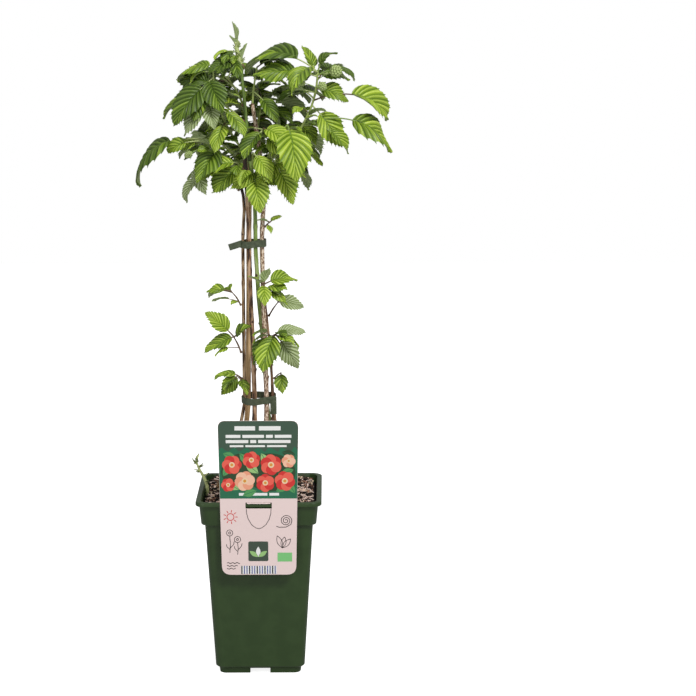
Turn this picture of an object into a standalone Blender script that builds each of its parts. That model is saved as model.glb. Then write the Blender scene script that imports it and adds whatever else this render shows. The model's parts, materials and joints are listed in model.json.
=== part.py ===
"""A young raspberry plant in a deep square pot, modelled at its real size.

Seven canes stand in the compost and two flat ties hold them together. Short laterals leave
the canes, and each lateral, with its leaves of one or three leaflets, is one solid. A label
hangs over the front of the rim. Metres, +Z up. The origin is the middle of the pot's
underside, and -Y is the front. Headings are degrees in plan: 0 is +X and 90 is +Y.
"""

import math
import random

import bmesh
import bpy
from mathutils import Matrix, Vector
from mathutils.bvhtree import BVHTree

MM = 0.001
GAP = 0.0003

# Pot
POT_HEIGHT = 0.190
RIM_WIDTH = 0.130
RIM_DEPTH = 0.0045
EDGE = 0.0006
COLLAR_TOP_WIDTH = 0.1227
COLLAR_FOOT_WIDTH = 0.1193
COLLAR_FOOT_Z = 0.1645
BODY_TOP_WIDTH = 0.112
BODY_FOOT_WIDTH = 0.0935
FOOT_WIDTH = 0.0852
FOOT_HEIGHT = 0.0055
FOOT_FLARE = 0.001
FOOT_SHOULDER = 0.003
FOOT_WALL = 0.004
FOOT_GAP = 0.021
FOOT_GAP_START = 0.021
CENTRE_FOOT_RADIUS = 0.009
PAD_RECESS = 0.0005
WALL = 0.0016
FLOOR_THICKNESS = 0.002
INNER_STEP_Z = COLLAR_FOOT_Z + 2 * WALL
CORNER_RADIUS = 0.010
CORNER_STEPS = 4
CUT_PAST = 0.001
DRAIN_RADIUS = 0.0045
DRAIN_OFFSET = 0.021
DRAIN_SIDES = 12

# Compost
COMPOST_TOP = 0.181
COMPOST_EDGE_DROP = 0.0015
COMPOST_SHOULDER = 0.006

# Canes, in millimetres. A cane stands at its foot, passes each tie in the slot at the angle
# given, or misses that tie where it has none, and then follows its points through the crown.
CANES = {
    "cane_1": dict(radius=(1.9, 1.6), foot=(-46, 10), slots=(180, 180),
                   crown=[(-15, -2, 500), (-22, -4, 524)]),
    "cane_2": dict(radius=(2.8, 2.6), foot=(-28, 22), slots=(142, 118), crown=[(-7, 9, 538)]),
    "cane_3": dict(radius=(2.5, 2.1), foot=(-7, -8), slots=(-105, -112),
                   crown=[(-11, -6, 505), (-14, -5, 556)]),
    "cane_4": dict(radius=(2.8, 1.6), foot=(25, 24), slots=(55, -72),
                   crown=[(-3, -6, 490), (-9, -2, 548), (-13, 0, 597), (-16, 0, 630)]),
    "cane_5": dict(radius=(2.7, 2.0), foot=(3, -17), slots=(-52, -12),
                   crown=[(6, -1, 500), (3, 1, 538), (-1, 3, 566), (-5, 5, 592)]),
    "cane_6": dict(radius=(1.4, 1.0), foot=(20, 10), slots=(26, None), crown=[(12, 7, 331)]),
    "cane_7": dict(radius=(1.6, 1.1), foot=(33, 3), slots=(-4, 38), crown=[(5, 6, 490), (9, 9, 532)]),
}
CANE_STEPS = 3
CANE_SIDES = 8
CANE_STRAIGHT_FOOT = 0.006

# Ties: flat straps round the canes
STRAP_HEIGHT = 0.008
STRAP_THICKNESS = 0.0009
STRAP_SIDES = 28
SLOT_CLEARANCE = 0.0005
SLOT_RUN = 0.0055
TAIL_WIDTH = 0.0067
TAIL_ROOT = 0.002
TIES = {
    "tie_lower": dict(z=0.2865, centre=(-0.001, 0.0), radii=(0.0172, 0.0165), tail=(-32, 0.0, 0.015)),
    "tie_upper": dict(z=0.4500, centre=(-0.0055, 0.0), radii=(0.0128, 0.0104), tail=(-158, 72.0, 0.012)),
}

# Label
LABEL_TOP_WIDTH = 0.0825
LABEL_FOOT_WIDTH = 0.0763
LABEL_TOP_Z = 0.2770
LABEL_FOOT_Z = 0.1145
LABEL_THICKNESS = 0.0008
LABEL_CORNERS = (0.0095, 0.0075)
LABEL_WINDOW_WIDTH = 0.027
LABEL_WINDOW_Z = (0.1848, 0.1912)
LABEL_OFFSET_X = 0.0005
LABEL_LEG_FOOT_Z = 0.1825
LABEL_TAB_CLEARANCE = 0.0015
LABEL_TAB_ROOT = 0.00024
CORNER_POINTS = 5

# Leaves
LEAF_THICKNESS = 0.016
LEAF_ASPECT = 0.70
LEAF_FOLD = 16.0
BLADE_SPREAD = 1.12
OUTLINE_POWERS = (0.72, 0.90)
STALK_RADII = (0.9, 0.65)
STALK_SAG = 0.75
LONG_STALK = 0.025
SIDE_SPREAD = 66.0
SIDE_SHARE = 0.80
END_STALK_SHARE = 0.20
MIDRIB_SHARE = 0.08
SINGLE_LEAF_SIZE = 27
LEAF_CLEARANCE = 0.0011
TIE_CLEARANCE = 0.001
LATERAL_TAPER = 0.35
LATERAL_STEP = 0.012
START_SPARE = 0.0002
BERRY_SAG = 10
BERRY_SEAT = 0.7
BERRY_LENGTH = 1.1
SEED = 7

# How a leaf that finds no room is turned, in heading and rise, before it is made smaller.
TURNS = [(0, 0), (7, 0), (-7, 0), (0, 8), (0, -8), (14, 4), (-14, 4), (14, -8), (-14, -8), (22, 0),
         (-22, 0), (0, 18), (0, -20), (30, 8), (-30, 8), (30, -14), (-30, -14), (42, 0), (-42, 0)]

# Foliage, in millimetres and degrees. Each mass has one lateral, which leaves its cane at a
# height and a heading, climbs at the first rise at its foot and the second at its tip, and
# carries the leaves listed: share of the way along, heading and rise of the stalk, length
# of the stalk, length of the end leaflet, how far the blade bends down, its roll, and, where
# it is given, the number of leaflets, which is 1 or 3.
# A berry has its stalk's share, heading, rise and length, and the radius of the fruit.
MASSES = {
    "foliage_front": dict(
        cane="cane_4", height=522, heading=-82, rise=(66, 62), length=26, radius=1.1,
        leaves=[
            (1.00, -44, -34, 6, 32, 40, 24, 1),
            (0.25, -70, -52, 6, 36, 26, 6, 3)]),
    "foliage_front_left": dict(
        cane="cane_3", height=528, heading=-150, rise=(56, 40), length=9, radius=1.1,
        leaves=[
            (1.00, -172, -4, 4, 42, 56, -30, 1),
            (0.35, -172, -34, 5, 36, 30, -46, 1)]),
    "foliage_front_right": dict(
        cane="cane_5", height=530, heading=-35, rise=(66, 46), length=53, radius=1.2,
        leaves=[
            (1.00, -72, -40, 9, 56, 46, 0, 1),
            (0.26, -34, -50, 12, 38, 26, 30, 3)]),
    "foliage_tip": dict(
        cane="cane_4", height=None, heading=180, rise=(74, 84), length=26, radius=1.3,
        leaves=[
            (0.98, 174, 86, 1, 20, 10, 0),
            (0.94, 14, 76, 1, 14, 14, 0),
            (0.80, 200, 72, 1, 13, 16, 0),
            (0.12, -10, 76, 2, 20, 8, 0),
            (0.30, 206, -10, 5, 28, 40, -40),
            (0.20, 234, -30, 5, 20, 40, 0)]),
    "foliage_upper_left": dict(
        cane="cane_3", height=550, heading=190, rise=(52, 92), length=89, radius=1.3,
        leaves=[
            (1.00, 186, 4, 3, 41, 64, -24, 1),
            (0.86, 216, -36, 6, 49, 30, -35, 3),
            (0.70, 176, -8, 12, 45, 52, -30, 3),
            (0.56, 206, -2, 10, 34, 60, -24, 3),
            (0.33, -112, -30, 6, 34, 40, 0, 1),
            (0.50, -38, -20, 10, 34, 50, 0, 1),
            (0.84, 170, 14, 24, 26, 66, -30, 1)]),
    "foliage_left": dict(
        cane="cane_1", height=506, heading=186, rise=(72, 52), length=56, radius=1.1,
        leaves=[
            (1.00, 184, 1, 43, 64, 82, -14, 1),
            (1.00, 192, 0, 27, 24, 60, -50, 1),
            (0.98, 172, 0, 17, 24, 56, -50, 1),
            (0.55, 204, -20, 31, 27, 62, -30, 3),
            (0.84, -120, -50, 3, 44, 24, -20, 1),
            (0.70, 150, 16, 20, 36, 60, 0, 3)],
        berries=[(0.95, 194, -20, 26, 4.0)]),
    "foliage_right_upper": dict(
        cane="cane_5", height=533, heading=-8, rise=(30, 88), length=113, radius=1.5,
        leaves=[
            (1.00, 178, 32, 25, 66, 84, -15, 1),
            (1.00, -125, 12, 12, 46, 84, 0, 1),
            (0.95, 130, 62, 12, 27, 14, 0, 1),
            (1.00, -6, 74, 8, 24, 88, 30, 1),
            (0.50, -6, 6, 52, 57, 68, 38, 1),
            (0.55, -16, -22, 28, 31, 44, 26, 1),
            (0.74, 3, 9, 40, 52, 70, 34, 1),
            (0.97, -8, 24, 14, 30, 84, 0, 1),
            (0.85, -14, -4, 5, 32, 60, 44, 1),
            (0.70, -8, -46, 12, 42, 24, 66, 1),
            (0.96, 184, 14, 22, 44, 24, -24, 1),
            (0.92, 64, 30, 12, 38, 60, 0, 3),
            (0.76, 118, 20, 16, 42, 60, 0, 3)],
        berries=[(0.93, -30, 24, 20, 6.0), (0.86, -64, 10, 11, 4.6), (0.86, 196, 20, 14, 4.2)]),
    "foliage_centre_upper": dict(
        cane="cane_5", height=None, heading=20, rise=(86, 78), length=38, radius=1.2,
        leaves=[
            (1.00, 6, 44, 6, 46, 84, 0, 3),
            (0.86, 160, 30, 8, 40, 74, 0, 3),
            (0.35, -44, -30, 14, 31, 40, 20, 1),
            (0.62, 84, 30, 12, 46, 62, 0, 3)]),
    "foliage_centre": dict(
        cane="cane_5", height=556, heading=-66, rise=(62, 40), length=17, radius=1.1,
        leaves=[
            (1.00, -14, 6, 5, 42, 50, 30, 1),
            (0.80, -134, -30, 4, 34, 36, -10, 1),
            (0.50, -10, -34, 10, 34, 36, 44, 1)]),
    "foliage_crown_left": dict(
        cane="cane_4", height=576, heading=200, rise=(48, 30), length=26, radius=1.2,
        leaves=[
            (1.00, 222, -30, 8, 38, 40, -20, 1),
            (0.75, 128, 26, 12, 42, 58, 0, 3)]),
    "foliage_right": dict(
        cane="cane_7", height=None, heading=16, rise=(74, 40), length=40, radius=1.1,
        leaves=[
            (1.00, 8, 16, 14, 40, 66, 15, 3),
            (0.70, -50, 14, 12, 33, 78, 0, 3),
            (0.80, 74, 18, 18, 42, 58, 0, 3)]),
    "foliage_stem": dict(
        cane="cane_5", height=468, heading=-30, rise=(50, 30), length=7, radius=0.8,
        leaves=[
            (1.00, 10, 40, 2, 13, 40, 30, 1),
            (1.00, -150, 30, 2, 13, 40, 0, 1),
            (0.50, -60, -30, 2, 11, 30, 0, 1)]),
    "foliage_mid_left_upper": dict(
        cane="cane_1", height=386, heading=190, rise=(68, 44), length=17, radius=0.9,
        leaves=[
            (1.00, 186, 14, 7, 20, 50, -40, 1),
            (1.00, 120, 30, 2, 16, 60, -50, 1),
            (0.20, -130, 10, 2, 11, 40, 0, 1)]),
    "foliage_mid_left": dict(
        cane="cane_1", height=336, heading=196, rise=(72, 58), length=19, radius=1.0,
        leaves=[
            (1.00, 186, 48, 8, 31, 26, -62, 1),
            (0.96, 188, -20, 2, 33, 22, -34, 1),
            (0.93, -28, 34, 4, 22, 20, 58, 1)]),
    "foliage_mid_left_lower": dict(
        cane="cane_1", height=308, heading=204, rise=(50, 30), length=6, radius=0.9,
        leaves=[
            (1.00, 184, 18, 2, 24, 60, -14, 1),
            (0.90, 206, -34, 2, 25, 30, -56, 1),
            (0.80, -58, -36, 6, 19, 20, 0, 1)]),
    "foliage_mid_front": dict(
        cane="cane_4", height=394, heading=-66, rise=(62, 50), length=19, radius=0.9,
        leaves=[
            (1.00, -82, -40, 3, 23, 30, 0, 1),
            (1.00, -50, 66, 2, 19, 10, 0, 1),
            (0.95, -160, 40, 3, 16, 20, 0, 1),
            (0.96, 2, 34, 8, 31, 64, 44, 1)]),
    "foliage_mid_right_upper": dict(
        cane="cane_7", height=374, heading=4, rise=(62, 50), length=17, radius=0.9,
        leaves=[
            (1.00, -12, 0, 2, 26, 44, 56, 1),
            (1.00, 110, 70, 2, 15, 10, 0, 1)]),
    "foliage_mid_right": dict(
        cane="cane_5", height=350, heading=-38, rise=(50, 20), length=13, radius=1.0,
        leaves=[
            (0.95, -118, -34, 3, 42, 40, -6, 1),
            (1.00, -2, 24, 3, 29, 50, 30, 1),
            (1.00, -14, -50, 9, 34, 16, 66, 1),
            (0.50, -150, -40, 4, 31, 36, -20, 1)]),
    "foliage_mid_right_lower": dict(
        cane="cane_7", height=308, heading=10, rise=(48, 30), length=9, radius=0.8,
        leaves=[
            (1.00, -84, -58, 2, 21, 20, 20, 1)]),
}

# The back and the inside of the crown: a lateral for each heading, with leaves dealt out in turn.
BACK_MASSES = {
    "foliage_back_left": dict(cane="cane_2", height=516, heading=132, length=46),
    "foliage_back": dict(cane="cane_2", height=None, heading=98, length=58),
    "foliage_back_right": dict(cane="cane_7", height=512, heading=62, length=46),
    "foliage_back_upper": dict(cane="cane_5", height=566, heading=80, length=54),
    "foliage_back_upper_left": dict(cane="cane_4", height=592, heading=128, length=46),
}
BACK_RISE = (60, 20)
BACK_RADIUS = 1.2
BACK_LEAF_COUNT = 6
BACK_FIRST_SHARE = 0.3
BACK_LEAF_SIZES = (38, 50)
BACK_STALKS = (10, 24)
BACK_LEAF_RISES = (4, 30)
BACK_DROOPS = (55, 80)
BACK_SPREAD = 0.33
BACK_JITTER = 8
BACK_ROLL = 12
GOLDEN_ANGLE = 137.5

# The shoot that comes up beside the canes, in millimetres from the compost, and its bracts:
# share of the way up, heading, rise and length.
SPROUT = [(-55.5, -2, 0), (-56, -2, 11), (-60, -2, 22), (-65, -3, 32), (-67, -3, 39)]
SPROUT_RADIUS = 1.9
SPROUT_TAPER = 0.5
SPROUT_LEAVES = [(0.36, -60, 35, 9), (0.48, 30, 40, 9), (0.60, 200, 35, 10), (0.72, -20, 55, 11),
                 (0.82, 170, 60, 12), (0.92, -80, 62, 11), (0.98, 80, 70, 11)]
BRACT_DROOP = 25


def clear_scene():
    """Remove what the scene holds."""
    for old in list(bpy.data.objects):
        bpy.data.objects.remove(old, do_unlink=True)


def new_collection(name):
    made = bpy.data.collections.new(name)
    bpy.context.scene.collection.children.link(made)
    return made


def material(name, colour, roughness, metallic=0.0):
    """A plain Principled material."""
    made = bpy.data.materials.new(name)
    made.use_nodes = True
    shader = made.node_tree.nodes["Principled BSDF"]
    shader.inputs["Base Color"].default_value = (*colour, 1.0)
    shader.inputs["Roughness"].default_value = roughness
    shader.inputs["Metallic"].default_value = metallic
    return made


def mesh_object(name, bm, collection, skin=None):
    """Put a bmesh into a new object."""
    mesh = bpy.data.meshes.new(name)
    bm.normal_update()
    bm.to_mesh(mesh)
    bm.free()
    made = bpy.data.objects.new(name, mesh)
    collection.objects.link(made)
    if skin:
        mesh.materials.append(skin)
    return made


def boolean(target, operation, other):
    """Join or cut a mesh object with another object or with a collection, and apply it."""
    modifier = target.modifiers.new("boolean", "BOOLEAN")
    modifier.operation = operation
    if isinstance(other, bpy.types.Collection):
        modifier.operand_type = "COLLECTION"
        modifier.collection = other
    else:
        modifier.object = other
    graph = bpy.context.evaluated_depsgraph_get()
    joined = bpy.data.meshes.new_from_object(target.evaluated_get(graph))
    target.modifiers.clear()
    target.data = joined


def discard(objects):
    for old in objects:
        bpy.data.objects.remove(old, do_unlink=True)


def three_sided_profile(collection):
    """A triangle of unit radius, the section of the thinnest stalks."""
    curve = bpy.data.curves.new("stalk_profile", "CURVE")
    curve.dimensions = "2D"
    spline = curve.splines.new("POLY")
    spline.points.add(2)
    spline.use_cyclic_u = True
    for corner, slot in enumerate(spline.points):
        turn = math.tau * corner / 3
        slot.co = (math.cos(turn), math.sin(turn), 0.0, 1.0)
    made = bpy.data.objects.new("stalk_profile", curve)
    made.hide_render = True
    made.display_type = "WIRE"
    collection.objects.link(made)
    return made


def curve_object(name, points, radii, collection, sides, profile=None):
    """A limb through points, with a radius at each, as a curve with filled caps."""
    curve = bpy.data.curves.new(name, "CURVE")
    curve.dimensions = "3D"
    if profile:
        curve.bevel_mode = "OBJECT"
        curve.bevel_object = profile
    else:
        curve.bevel_depth = 1.0
        curve.bevel_resolution = (sides - 4) // 2
    curve.use_fill_caps = True
    spline = curve.splines.new("POLY")
    spline.points.add(len(points) - 1)
    for slot, point, radius in zip(spline.points, points, radii):
        slot.co = (*point, 1.0)
        slot.radius = radius
    made = bpy.data.objects.new(name, curve)
    collection.objects.link(made)
    return made


def curves_to_meshes(curves):
    """Turn curve objects into mesh objects of the same names, with their caps welded on."""
    bpy.context.view_layer.update()
    graph = bpy.context.evaluated_depsgraph_get()
    made = []
    for old in curves:
        mesh = bpy.data.meshes.new_from_object(old.evaluated_get(graph))
        bm = bmesh.new()
        bm.from_mesh(mesh)
        bmesh.ops.remove_doubles(bm, verts=bm.verts, dist=0.000001)
        bmesh.ops.recalc_face_normals(bm, faces=bm.faces)
        bm.to_mesh(mesh)
        bm.free()
        name = old.name
        home = old.users_collection[0]
        bpy.data.objects.remove(old, do_unlink=True)
        new = bpy.data.objects.new(name, mesh)
        home.objects.link(new)
        made.append(new)
    return made


def smooth_path(points, steps):
    """A smooth curve through points, with steps stretches between each two.

    At each point the curve leans towards the shorter of its two runs, so that it never overshoots.
    """
    spans = [(end - start).length for start, end in zip(points, points[1:])]
    runs = [(end - start).normalized() for start, end in zip(points, points[1:])]
    slopes = [runs[0]]
    for index in range(1, len(runs)):
        before, after = spans[index - 1], spans[index]
        slopes.append((runs[index - 1] * after + runs[index] * before) / (before + after))
    slopes.append(runs[-1])
    path = []
    for index, span in enumerate(spans):
        start, end = points[index], points[index + 1]
        leave, arrive = slopes[index] * span, slopes[index + 1] * span
        for step in range(steps):
            t = step / steps
            path.append(start * (1 + 2 * t) * (1 - t) ** 2 + leave * t * (1 - t) ** 2
                        + end * t * t * (3 - 2 * t) - arrive * t * t * (1 - t))
    return path + [points[-1].copy()]


def square_ring(width, radius, z):
    """The corners of a square with rounded corners, anticlockwise."""
    ring = []
    for quarter in range(4):
        middle = math.radians(90 * quarter + 45)
        centre = (width / 2 - radius) * math.sqrt(2)
        for step in range(CORNER_STEPS + 1):
            angle = math.radians(90 * quarter + 90 * step / CORNER_STEPS)
            ring.append(Vector((centre * math.cos(middle) + radius * math.cos(angle),
                                centre * math.sin(middle) + radius * math.sin(angle), z)))
    return ring


def square_loft(name, stations, collection):
    """A closed solid lofted through rounded squares, given as (z, width, corner radius) from the foot up."""
    bm = bmesh.new()
    rings = [[bm.verts.new(point) for point in square_ring(width, radius, z)]
             for z, width, radius in stations]
    for low, high in zip(rings, rings[1:]):
        for index, corner in enumerate(low):
            after = (index + 1) % len(low)
            bm.faces.new((corner, low[after], high[after], high[index]))
    bm.faces.new(list(reversed(rings[0])))
    bm.faces.new(rings[-1])
    return mesh_object(name, bm, collection)


def box(name, low, high, collection):
    bm = bmesh.new()
    bmesh.ops.create_cube(bm, size=1.0)
    size = [h - l for l, h in zip(low, high)]
    centre = [(h + l) / 2 for l, h in zip(low, high)]
    shape = Matrix.Translation(centre) @ Matrix.Diagonal((*size, 1.0))
    bmesh.ops.transform(bm, matrix=shape, verts=bm.verts)
    return mesh_object(name, bm, collection)


def cylinder(name, centre, radii, low, high, sides, collection):
    """An upright cylinder, which may be oval."""
    bm = bmesh.new()
    bmesh.ops.create_cone(bm, cap_ends=True, segments=sides, radius1=1.0, radius2=1.0, depth=high - low)
    shape = Matrix.Translation((*centre, (high + low) / 2)) @ Matrix.Diagonal((*radii, 1.0, 1.0))
    bmesh.ops.transform(bm, matrix=shape, verts=bm.verts)
    return mesh_object(name, bm, collection)


def collar_inner_width(z):
    """Width between the inner faces of the pot's collar at a height."""
    share = (z - INNER_STEP_Z) / (POT_HEIGHT - INNER_STEP_Z)
    return COLLAR_FOOT_WIDTH + (COLLAR_TOP_WIDTH - COLLAR_FOOT_WIDTH) * share - 2 * WALL


def build_pot(collection, cutters, skin):
    """The square pot: a tapering body under a wider collar and a lip, on a cut-away foot ring."""
    r = CORNER_RADIUS
    floor_z = FOOT_HEIGHT + FLOOR_THICKNESS
    rim_z = POT_HEIGHT - RIM_DEPTH
    pot = square_loft("pot", [
        (0.0, FOOT_WIDTH, r * 0.7), (FOOT_HEIGHT, FOOT_WIDTH + FOOT_FLARE, r * 0.7),
        (FOOT_HEIGHT + FOOT_SHOULDER, BODY_FOOT_WIDTH, r * 0.9), (COLLAR_FOOT_Z, BODY_TOP_WIDTH, r),
        (COLLAR_FOOT_Z, COLLAR_FOOT_WIDTH - 4 * EDGE, r), (COLLAR_FOOT_Z + 2 * EDGE, COLLAR_FOOT_WIDTH, r),
        (rim_z, COLLAR_TOP_WIDTH, r), (rim_z, RIM_WIDTH - 2 * EDGE, r), (rim_z + EDGE, RIM_WIDTH, r),
        (POT_HEIGHT - 2 * EDGE, RIM_WIDTH, r), (POT_HEIGHT, RIM_WIDTH - 4 * EDGE, r)], collection)
    inner = r - WALL
    above = POT_HEIGHT + 10 * CUT_PAST
    hollow = square_loft("pot_hollow", [
        (floor_z, BODY_FOOT_WIDTH - 2 * WALL, inner * 0.9),
        (INNER_STEP_Z - WALL, BODY_TOP_WIDTH - 2 * WALL, inner),
        (INNER_STEP_Z, collar_inner_width(INNER_STEP_Z), inner), (above, collar_inner_width(above), inner),
    ], cutters)
    under_width = FOOT_WIDTH - 2 * FOOT_WALL
    under = square_loft("pot_under", [
        (-CUT_PAST, under_width, r * 0.4), (FOOT_HEIGHT, under_width, r * 0.4)], cutters)
    pad = cylinder("pot_pad", (0, 0), [CENTRE_FOOT_RADIUS] * 2, 0.0, floor_z - PAD_RECESS, 24, cutters)
    boolean(pot, "DIFFERENCE", hollow)
    boolean(pot, "DIFFERENCE", under)
    boolean(pot, "UNION", pad)
    gaps = new_collection("pot_gaps")
    half, near, far = FOOT_GAP / 2, FOOT_GAP_START, RIM_WIDTH
    cut = []
    for side in (-1, 1):
        low, high = sorted((side * near, side * far))
        cut.append(box("gap_x", (low, -half, -CUT_PAST), (high, half, FOOT_HEIGHT), gaps))
        cut.append(box("gap_y", (-half, low, -CUT_PAST), (half, high, FOOT_HEIGHT), gaps))
    for x in (-DRAIN_OFFSET, DRAIN_OFFSET):
        for y in (-DRAIN_OFFSET, DRAIN_OFFSET):
            cut.append(cylinder("drain", (x, y), [DRAIN_RADIUS] * 2, -CUT_PAST, 2 * floor_z,
                                DRAIN_SIDES, gaps))
    boolean(pot, "DIFFERENCE", gaps)
    discard(cut + [hollow, under, pad])
    bpy.data.collections.remove(gaps)
    pot.data.materials.clear()
    pot.data.materials.append(skin)


def build_compost(collection, skin):
    """The compost that fills the pot to just under its rim, clear of the pot by the gap."""
    floor_z = FOOT_HEIGHT + FLOOR_THICKNESS + GAP
    edge_z = COMPOST_TOP - COMPOST_EDGE_DROP
    r = CORNER_RADIUS - WALL
    compost = square_loft("compost", [
        (floor_z, BODY_FOOT_WIDTH - 2 * (WALL + GAP), r * 0.9),
        (INNER_STEP_Z - WALL + GAP, BODY_TOP_WIDTH - 2 * (WALL + GAP), r),
        (INNER_STEP_Z + GAP, collar_inner_width(INNER_STEP_Z) - 2 * GAP, r),
        (edge_z, collar_inner_width(edge_z) - 2 * GAP, r),
        (COMPOST_TOP, collar_inner_width(COMPOST_TOP) - COMPOST_SHOULDER, r)], collection)
    compost.data.materials.append(skin)


def tie_slot(tie, angle, radius):
    """Where a cane of a radius, in metres, stands inside a tie."""
    turn = math.radians(angle)
    x, y = tie["centre"]
    a, b = (half - radius - SLOT_CLEARANCE for half in tie["radii"])
    return Vector((x + a * math.cos(turn), y + b * math.sin(turn), tie["z"]))


def cane_path(cane):
    """A cane's smooth path, as points and radii in metres."""
    foot_radius, tip_radius = (value * MM for value in cane["radius"])
    x, y = (value * MM for value in cane["foot"])
    foot = COMPOST_TOP + GAP
    points = [Vector((x, y, foot)), Vector((x, y, foot + CANE_STRAIGHT_FOOT))]
    for tie, angle in zip(TIES.values(), cane["slots"]):
        if angle is not None:
            slot = tie_slot(tie, angle, foot_radius)
            points += [slot - Vector((0, 0, SLOT_RUN)), slot + Vector((0, 0, SLOT_RUN))]
    points += [Vector(point) * MM for point in cane["crown"]]
    path = [points[0]] + smooth_path(points[1:], CANE_STEPS)
    low, high = foot, points[-1].z
    radii = [foot_radius + (tip_radius - foot_radius) * (point.z - low) / (high - low) for point in path]
    return path, radii


def build_canes(collection, skins):
    curves = []
    for name, cane in CANES.items():
        path, radii = cane_path(cane)
        curves.append(curve_object(name, path, radii, collection, CANE_SIDES))
    for made in curves_to_meshes(curves):
        made.data.materials.append(skins[made.name])


def build_tie(name, tie, collection, cutters, skin):
    """A flat strap round the canes, with its free end."""
    low, high = tie["z"] - STRAP_HEIGHT / 2, tie["z"] + STRAP_HEIGHT / 2
    outer = [half + STRAP_THICKNESS for half in tie["radii"]]
    strap = cylinder(name, tie["centre"], outer, low, high, STRAP_SIDES, collection)
    hole = cylinder("tie_hole", tie["centre"], tie["radii"], low - CUT_PAST, high + CUT_PAST,
                    STRAP_SIDES, cutters)
    boolean(strap, "DIFFERENCE", hole)
    angle, lean, length = tie["tail"]
    turn = math.radians(angle)
    middle = [half + STRAP_THICKNESS / 2 for half in tie["radii"]]
    place = Vector((tie["centre"][0] + middle[0] * math.cos(turn),
                    tie["centre"][1] + middle[1] * math.sin(turn), tie["z"]))
    tail = box("tie_tail", (-TAIL_WIDTH / 2, -STRAP_THICKNESS / 2, -length),
               (TAIL_WIDTH / 2, STRAP_THICKNESS / 2, TAIL_ROOT), cutters)
    tail.data.transform(Matrix.Translation(place) @ Matrix.Rotation(turn + math.pi / 2, 4, "Z")
                        @ Matrix.Rotation(math.radians(lean), 4, "Y"))
    boolean(strap, "UNION", tail)
    discard([hole, tail])
    strap.data.materials.clear()
    strap.data.materials.append(skin)


def rounded_outline(corners):
    """The points of a polygon whose corners, given as (x, z, radius), are rounded."""
    outline = []
    for index, (x, z, radius) in enumerate(corners):
        here = Vector((x, z))
        before = Vector(corners[index - 1][:2])
        after = Vector(corners[(index + 1) % len(corners)][:2])
        enter = here + (before - here).normalized() * radius
        leave = here + (after - here).normalized() * radius
        for step in range(CORNER_POINTS):
            t = step / (CORNER_POINTS - 1)
            outline.append(enter * (1 - t) ** 2 + here * 2 * t * (1 - t) + leave * t * t)
    return outline


def build_label(collection, cutters, skin):
    """The label: a flat card in front of the rim, with a tab from its window over the lip."""
    top, foot = LABEL_TOP_WIDTH / 2, LABEL_FOOT_WIDTH / 2
    window, (sill, head) = LABEL_WINDOW_WIDTH / 2, LABEL_WINDOW_Z
    x = LABEL_OFFSET_X
    high, low = LABEL_CORNERS[1], LABEL_CORNERS[0]
    card = rounded_outline([(x + top, LABEL_TOP_Z, high), (x - top, LABEL_TOP_Z, high),
                            (x - foot, LABEL_FOOT_Z, low), (x + foot, LABEL_FOOT_Z, low)])
    hole = [Vector((x + sx * window, z)) for sx, z in ((1, head), (-1, head), (-1, sill), (1, sill))]
    curve = bpy.data.curves.new("label", "CURVE")
    curve.dimensions = "2D"
    curve.fill_mode = "BOTH"
    curve.extrude = LABEL_THICKNESS / 2
    for outline in (card, hole):
        spline = curve.splines.new("POLY")
        spline.points.add(len(outline) - 1)
        spline.use_cyclic_u = True
        for slot, point in zip(spline.points, outline):
            slot.co = (*point, 0.0, 1.0)
    flat = bpy.data.objects.new("label", curve)
    collection.objects.link(flat)
    label = curves_to_meshes([flat])[0]
    front = -(RIM_WIDTH / 2 + GAP + LABEL_THICKNESS / 2)
    label.data.transform(Matrix.Translation((0, front, 0)) @ Matrix.Rotation(math.pi / 2, 4, "X"))
    inside = GAP - collar_inner_width(LABEL_LEG_FOOT_Z) / 2
    half = window - LABEL_TAB_CLEARANCE
    over = POT_HEIGHT + GAP
    tabs = new_collection("label_tabs")
    pieces = [box("tab_over", (x - half, front - LABEL_TAB_ROOT, over),
                  (x + half, inside + LABEL_THICKNESS, over + 1.5 * LABEL_THICKNESS), tabs),
              box("tab_leg", (x - half, inside, LABEL_LEG_FOOT_Z),
                  (x + half, inside + LABEL_THICKNESS, over + LABEL_THICKNESS), tabs)]
    boolean(label, "UNION", tabs)
    discard(pieces)
    bpy.data.collections.remove(tabs)
    label.data.materials.clear()
    label.data.materials.append(skin)


def direction(heading, rise):
    """The unit vector at a heading in plan and an angle above the level."""
    turn, climb = math.radians(heading), math.radians(rise)
    return Vector((math.cos(turn) * math.cos(climb), math.sin(turn) * math.cos(climb), math.sin(climb)))


def limb_path(start, heading, rises, length, steps):
    """A limb that climbs at the first rise at its foot and at the second at its tip."""
    path = [start.copy()]
    for step in range(steps):
        rise = rises[0] + (rises[1] - rises[0]) * (step + 0.5) / steps
        path.append(path[-1] + direction(heading, rise) * length / steps)
    return path


def along_path(path, share):
    """The point at a share of the way along a path of even steps."""
    place = min(share, 0.9999) * (len(path) - 1)
    index = int(place)
    return path[index].lerp(path[index + 1], place - index)


def leaf_outline(along):
    """Half width of a leaflet at a share of its length, where 1 is its widest."""
    rise, fall = OUTLINE_POWERS
    peak = rise / (rise + fall)
    return (along / peak) ** rise * ((1 - along) / (1 - peak)) ** fall


def leaflet(base, heading, rise, roll, spread, length, droop):
    """A leaflet's frame: its base, the ways it faces, its size and how far it bends down."""
    forward, up = direction(heading, rise), direction(heading, rise + 90)
    up = Matrix.Rotation(math.radians(roll), 3, forward) @ up
    forward = Matrix.Rotation(math.radians(spread), 3, up) @ forward
    return dict(base=base, forward=forward, up=up, left=up.cross(forward), length=length,
                half_width=length * LEAF_ASPECT / 2, droop=math.radians(max(droop, 1.0)))


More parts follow.
